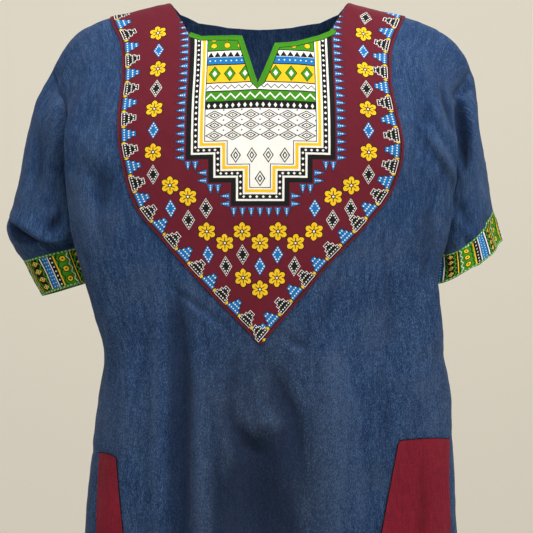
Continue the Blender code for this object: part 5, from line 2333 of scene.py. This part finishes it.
    def make_sleeves(self) -> None:
        """Make the sleeves and the printed cuffs."""
        seam, soft = self.SLEEVE_SEAM
        for hand, form in self.sleeves.items():
            tube, name = form.sleeve, "sleeve_" + hand.value
            flat = tube.flat()
            wear = np.exp(-((-flat[:, 1] - seam) / soft) ** 2)
            layer = Layer(tube.points(), tube.faces(), form.sleeve_normals, flat, wear)
            settled = self.tailor.settle(layer, np.arange(len(flat)) < tube.count)
            piece = thicken("cloth_" + name, settled, DENIM, wrap=tube.around()[-1])
            self.declare(piece, name, self.denim)
            tube.around()[-1]
            tube.along()[-1]
            self.make_cuff(hand, form)

    def make_cuff(self, hand: Hand, form: SleeveForm) -> None:
        """Make one printed cuff."""
        length, height = form.cuff.around()[-1], form.cuff.along()[-1]
        corners = [(0.0, 0.0), (length, 0.0), (length, -height), (0.0, -height), (0.0, 0.0)]
        outline = fill_in(corners, self.OUTLINE_STEP)[:-1]
        strip, faces, colours = CuffPattern().paint(length, height).cut_out(outline, self.CUFF_CELL)
        faces = self.close_strip(strip, faces, length)
        points, normals = form.on_cuff(strip + np.array([length / 2, 0.0]))
        faces = turned_out(points, faces, normals[faces[:, 0]])
        layer = Layer(points, faces, normals, strip, np.zeros(len(points)))
        piece = thicken("cloth_cuff_" + hand.value, self.tailor.settle(layer), COTTON, wrap=length)
        ink_in(piece, colours, Ink.GREEN)
        self.declare(piece, "cuff_" + hand.value, self.cuff_print)
        around = np.arange(0.0, length, self.CUFF_ROW_STEP)
        rows = []
        for down in (self.CUFF_ROW_IN, height - self.STITCH_IN):
            spots, ways = form.on_cuff(rows_of(around, np.full(len(around), -down)))
            moved, _ = self.tailor.move(spots, ways)
            rows.append(moved + ways * self.THREAD_RISE)
        stitches = self.sew("cuff_stitches_" + hand.value, rows, Thread.LEAF, "cuff_print")

    @staticmethod
    def close_strip(strip: Array, faces: Array, length: float) -> Array:
        """Join a strip's far end to its near end, point to point."""
        near = np.flatnonzero(np.abs(strip[:, 0]) < EDGE_NEAR)
        lookup = np.arange(len(strip))
        for k in np.flatnonzero(np.abs(strip[:, 0] - length) < EDGE_NEAR):
            gaps = np.abs(strip[near, 1] - strip[k, 1])
            best = int(np.argmin(gaps))
            if gaps[best] < SAME_SPOT:
                lookup[k] = near[best]
        return lookup[faces]

    def make_yoke(self) -> None:
        """Make the printed yoke and its topstitching."""
        outline, neck = self.yoke_outline(), self.front.neck
        paint = YokePattern().paint(outline, self.yoke_edge, neck)
        rows = [beside(self.yoke_edge, -self.STITCH_IN), beside(neck, self.STITCH_IN)]
        self.make_patch("yoke", "", paint, outline, rows, "yoke_print", self.yoke_print)

    def make_pockets(self) -> None:
        """Make the pocket patches, with painted shadow along their mouths, and their edge stitching."""
        for hand in Hand:
            paint = Painter(Ink.WHITE)
            mouth = fill_in(self.pocket_mouth(hand), self.STITCH_STEP)
            # A thin black band along the mouth is the painted shadow of the opening.
            paint.band(mouth, 0.0, -hand.sign * self.MOUTH_SHADOW, Ink.BLACK)
            patch = POCKETS[hand]
            slant = fill_in(self.front.laid_out([patch.top_inner, patch.low_inner]), self.STITCH_STEP)
            rows = [beside(slant, -inset * hand.sign)[1:-1] for inset in self.POCKET_ROWS]
            self.make_patch("pocket", "_" + hand.value, paint, self.pocket_line(hand), rows,
                            "pocket_cotton", self.cotton)

    def make_patch(self, name: str, side: str, paint: Painter, outline: Array, rows: Sequence[Array],
                   slot: str, material: Material) -> None:
        """Make a piece that is sewn on to the front.

        Args:
            name: What it is.
            side: What its name ends with.
            paint: Its colours.
            outline: Its closed outline on the flat front.
            rows: Its rows of stitches on the flat front.
            slot: The slot of its material; not used.
            material: Its material.
        """
        flat, faces, colours = paint.cut_out(outline, self.PRINT_CELL)
        points, normals = surface_at(self.front, flat)
        faces = turned_out(points, faces, normals[faces[:, 0]])
        layer = Layer(points, faces, normals, flat, np.zeros(len(flat)))
        piece = thicken("cloth_" + name + side, self.tailor.settle(layer), COTTON, self.COTTON_RISE)
        # The pockets' side walls are black, as painted shadow; the yoke's keep its burgundy.
        ink_in(piece, colours, Ink.BLACK if side else Ink.BURGUNDY)
        self.declare(piece, name + side, material)
        rise = self.COTTON_RISE + COTTON + self.THREAD_ON_COTTON
        lines = [self.over(self.front, row, rise) for row in rows]
        stitches = self.sew(name + "_stitches" + side, lines, Thread.WINE, slot)

    def build(self) -> None:
        """Make every piece."""
        self.make_panels()
        self.make_sleeves()
        self.make_yoke()
        self.make_pockets()


# The stage


LAMP_TARGET = (0.0, 0.0, -0.4)


@dataclass(frozen=True)
class Lamp:
    """A soft lamp that looks at the dress."""

    name: str
    place: Place
    size: float
    power: float
    colour: Place = (1.0, 1.0, 1.0)

    def hang(self) -> None:
        """Place the lamp."""
        data = bpy.data.lights.new(self.name, "AREA")
        data.shape = "DISK"
        data.size = self.size
        data.energy = self.power
        data.color = self.colour
        lamp = placed(self.name, data)
        lamp.location = self.place
        aim = Vector(LAMP_TARGET) - lamp.location
        lamp.rotation_euler = aim.to_track_quat("-Z", "Y").to_euler()
        lamp.visible_camera = False


@dataclass(frozen=True)
class Studio:
    """The pale room, its lamps and the camera."""

    lamps: tuple[Lamp, ...] = (
        Lamp("key", (1.8, -1.5, 1.4), 1.2, 62.0, (1.0, 0.99, 0.97)),
        Lamp("fill", (-1.9, -1.6, 1.3), 2.0, 25.0, (0.98, 0.99, 1.0)),
        Lamp("top", (0.0, -0.9, 1.3), 1.2, 24.0),
        Lamp("rear", (0.5, 2.6, 1.4), 2.4, 40.0),
    )
    wall: Colour = (0.690, 0.655, 0.570, 1.0)
    # The backdrop is painted darker towards the floor, as shade.
    wall_low_shaded: Colour = (0.560, 0.530, 0.465, 1.0)
    wall_shade_heights: Point = (-2.0, 1.2)
    ambient: float = 0.42
    glow: float = 0.50
    lens: float = 98.07
    camera_place: Place = (0.010, -2.0, -0.361)
    floor: float = -2.8
    bend_centre: Point = (3.7, -1.8)
    half_width: float = 8.0
    depth: Point = (-5.0, 4.7)
    top: float = 5.0

    def set_up(self) -> None:
        """Build the room."""
        scene = bpy.context.scene
        world = bpy.data.worlds.new("room")
        world.use_nodes = True
        inputs = world.node_tree.nodes["Background"].inputs
        inputs["Color"].default_value = self.wall
        inputs["Strength"].default_value = self.ambient
        scene.world = world
        scene.view_settings.view_transform = "Standard"
        for lamp in self.lamps:
            lamp.hang()
        self.build_walls()
        data = bpy.data.cameras.new("camera")
        data.lens = self.lens
        data.sensor_width = 36.0
        camera = placed("camera", data)
        camera.location = self.camera_place
        camera.rotation_euler = (math.pi / 2, 0.0, 0.0)
        scene.camera = camera

    def build_walls(self) -> None:
        """Build the floor and the backdrop as one swept sheet, glowing with its own colour, which is
        painted darker towards the floor as shade.
        """
        material = bpy.data.materials.new("backdrop")
        material.use_nodes = True
        make = Nodes(material.node_tree)
        height = make.split(make.add("ShaderNodeTexCoord").outputs["Object"])[2]
        colour = make.blend(make.spread(height, *self.wall_shade_heights), self.wall_low_shaded, self.wall)
        shader = material.node_tree.nodes["Principled BSDF"].inputs
        for name, value in (("Base Color", colour), ("Emission Color", colour), ("Roughness", 0.9),
                            ("Emission Strength", self.glow)):
            make.join(value, shader[name])
        y, z = self.bend_centre
        bend = [(y + math.sin(t), z - math.cos(t)) for t in np.linspace(0, math.pi / 2, 12)]
        line = [(self.depth[0], self.floor), *bend, (self.depth[1], self.top)]
        points = [(x, y, z) for y, z in line for x in (-self.half_width, self.half_width)]
        faces = [(2 * k, 2 * k + 1, 2 * k + 3, 2 * k + 2) for k in range(len(line) - 1)]
        mesh = bpy.data.meshes.new("backdrop")
        mesh.from_pydata(points, [], faces)
        mesh.materials.append(material)
        mesh.shade_smooth()
        placed("backdrop", mesh)


def main() -> None:
    """Dress the frame and set it on its stage."""
    logging.basicConfig(level=logging.INFO, format="%(message)s")
    Studio().set_up()
    Dress().build()


if __name__ == "__main__":
    main()
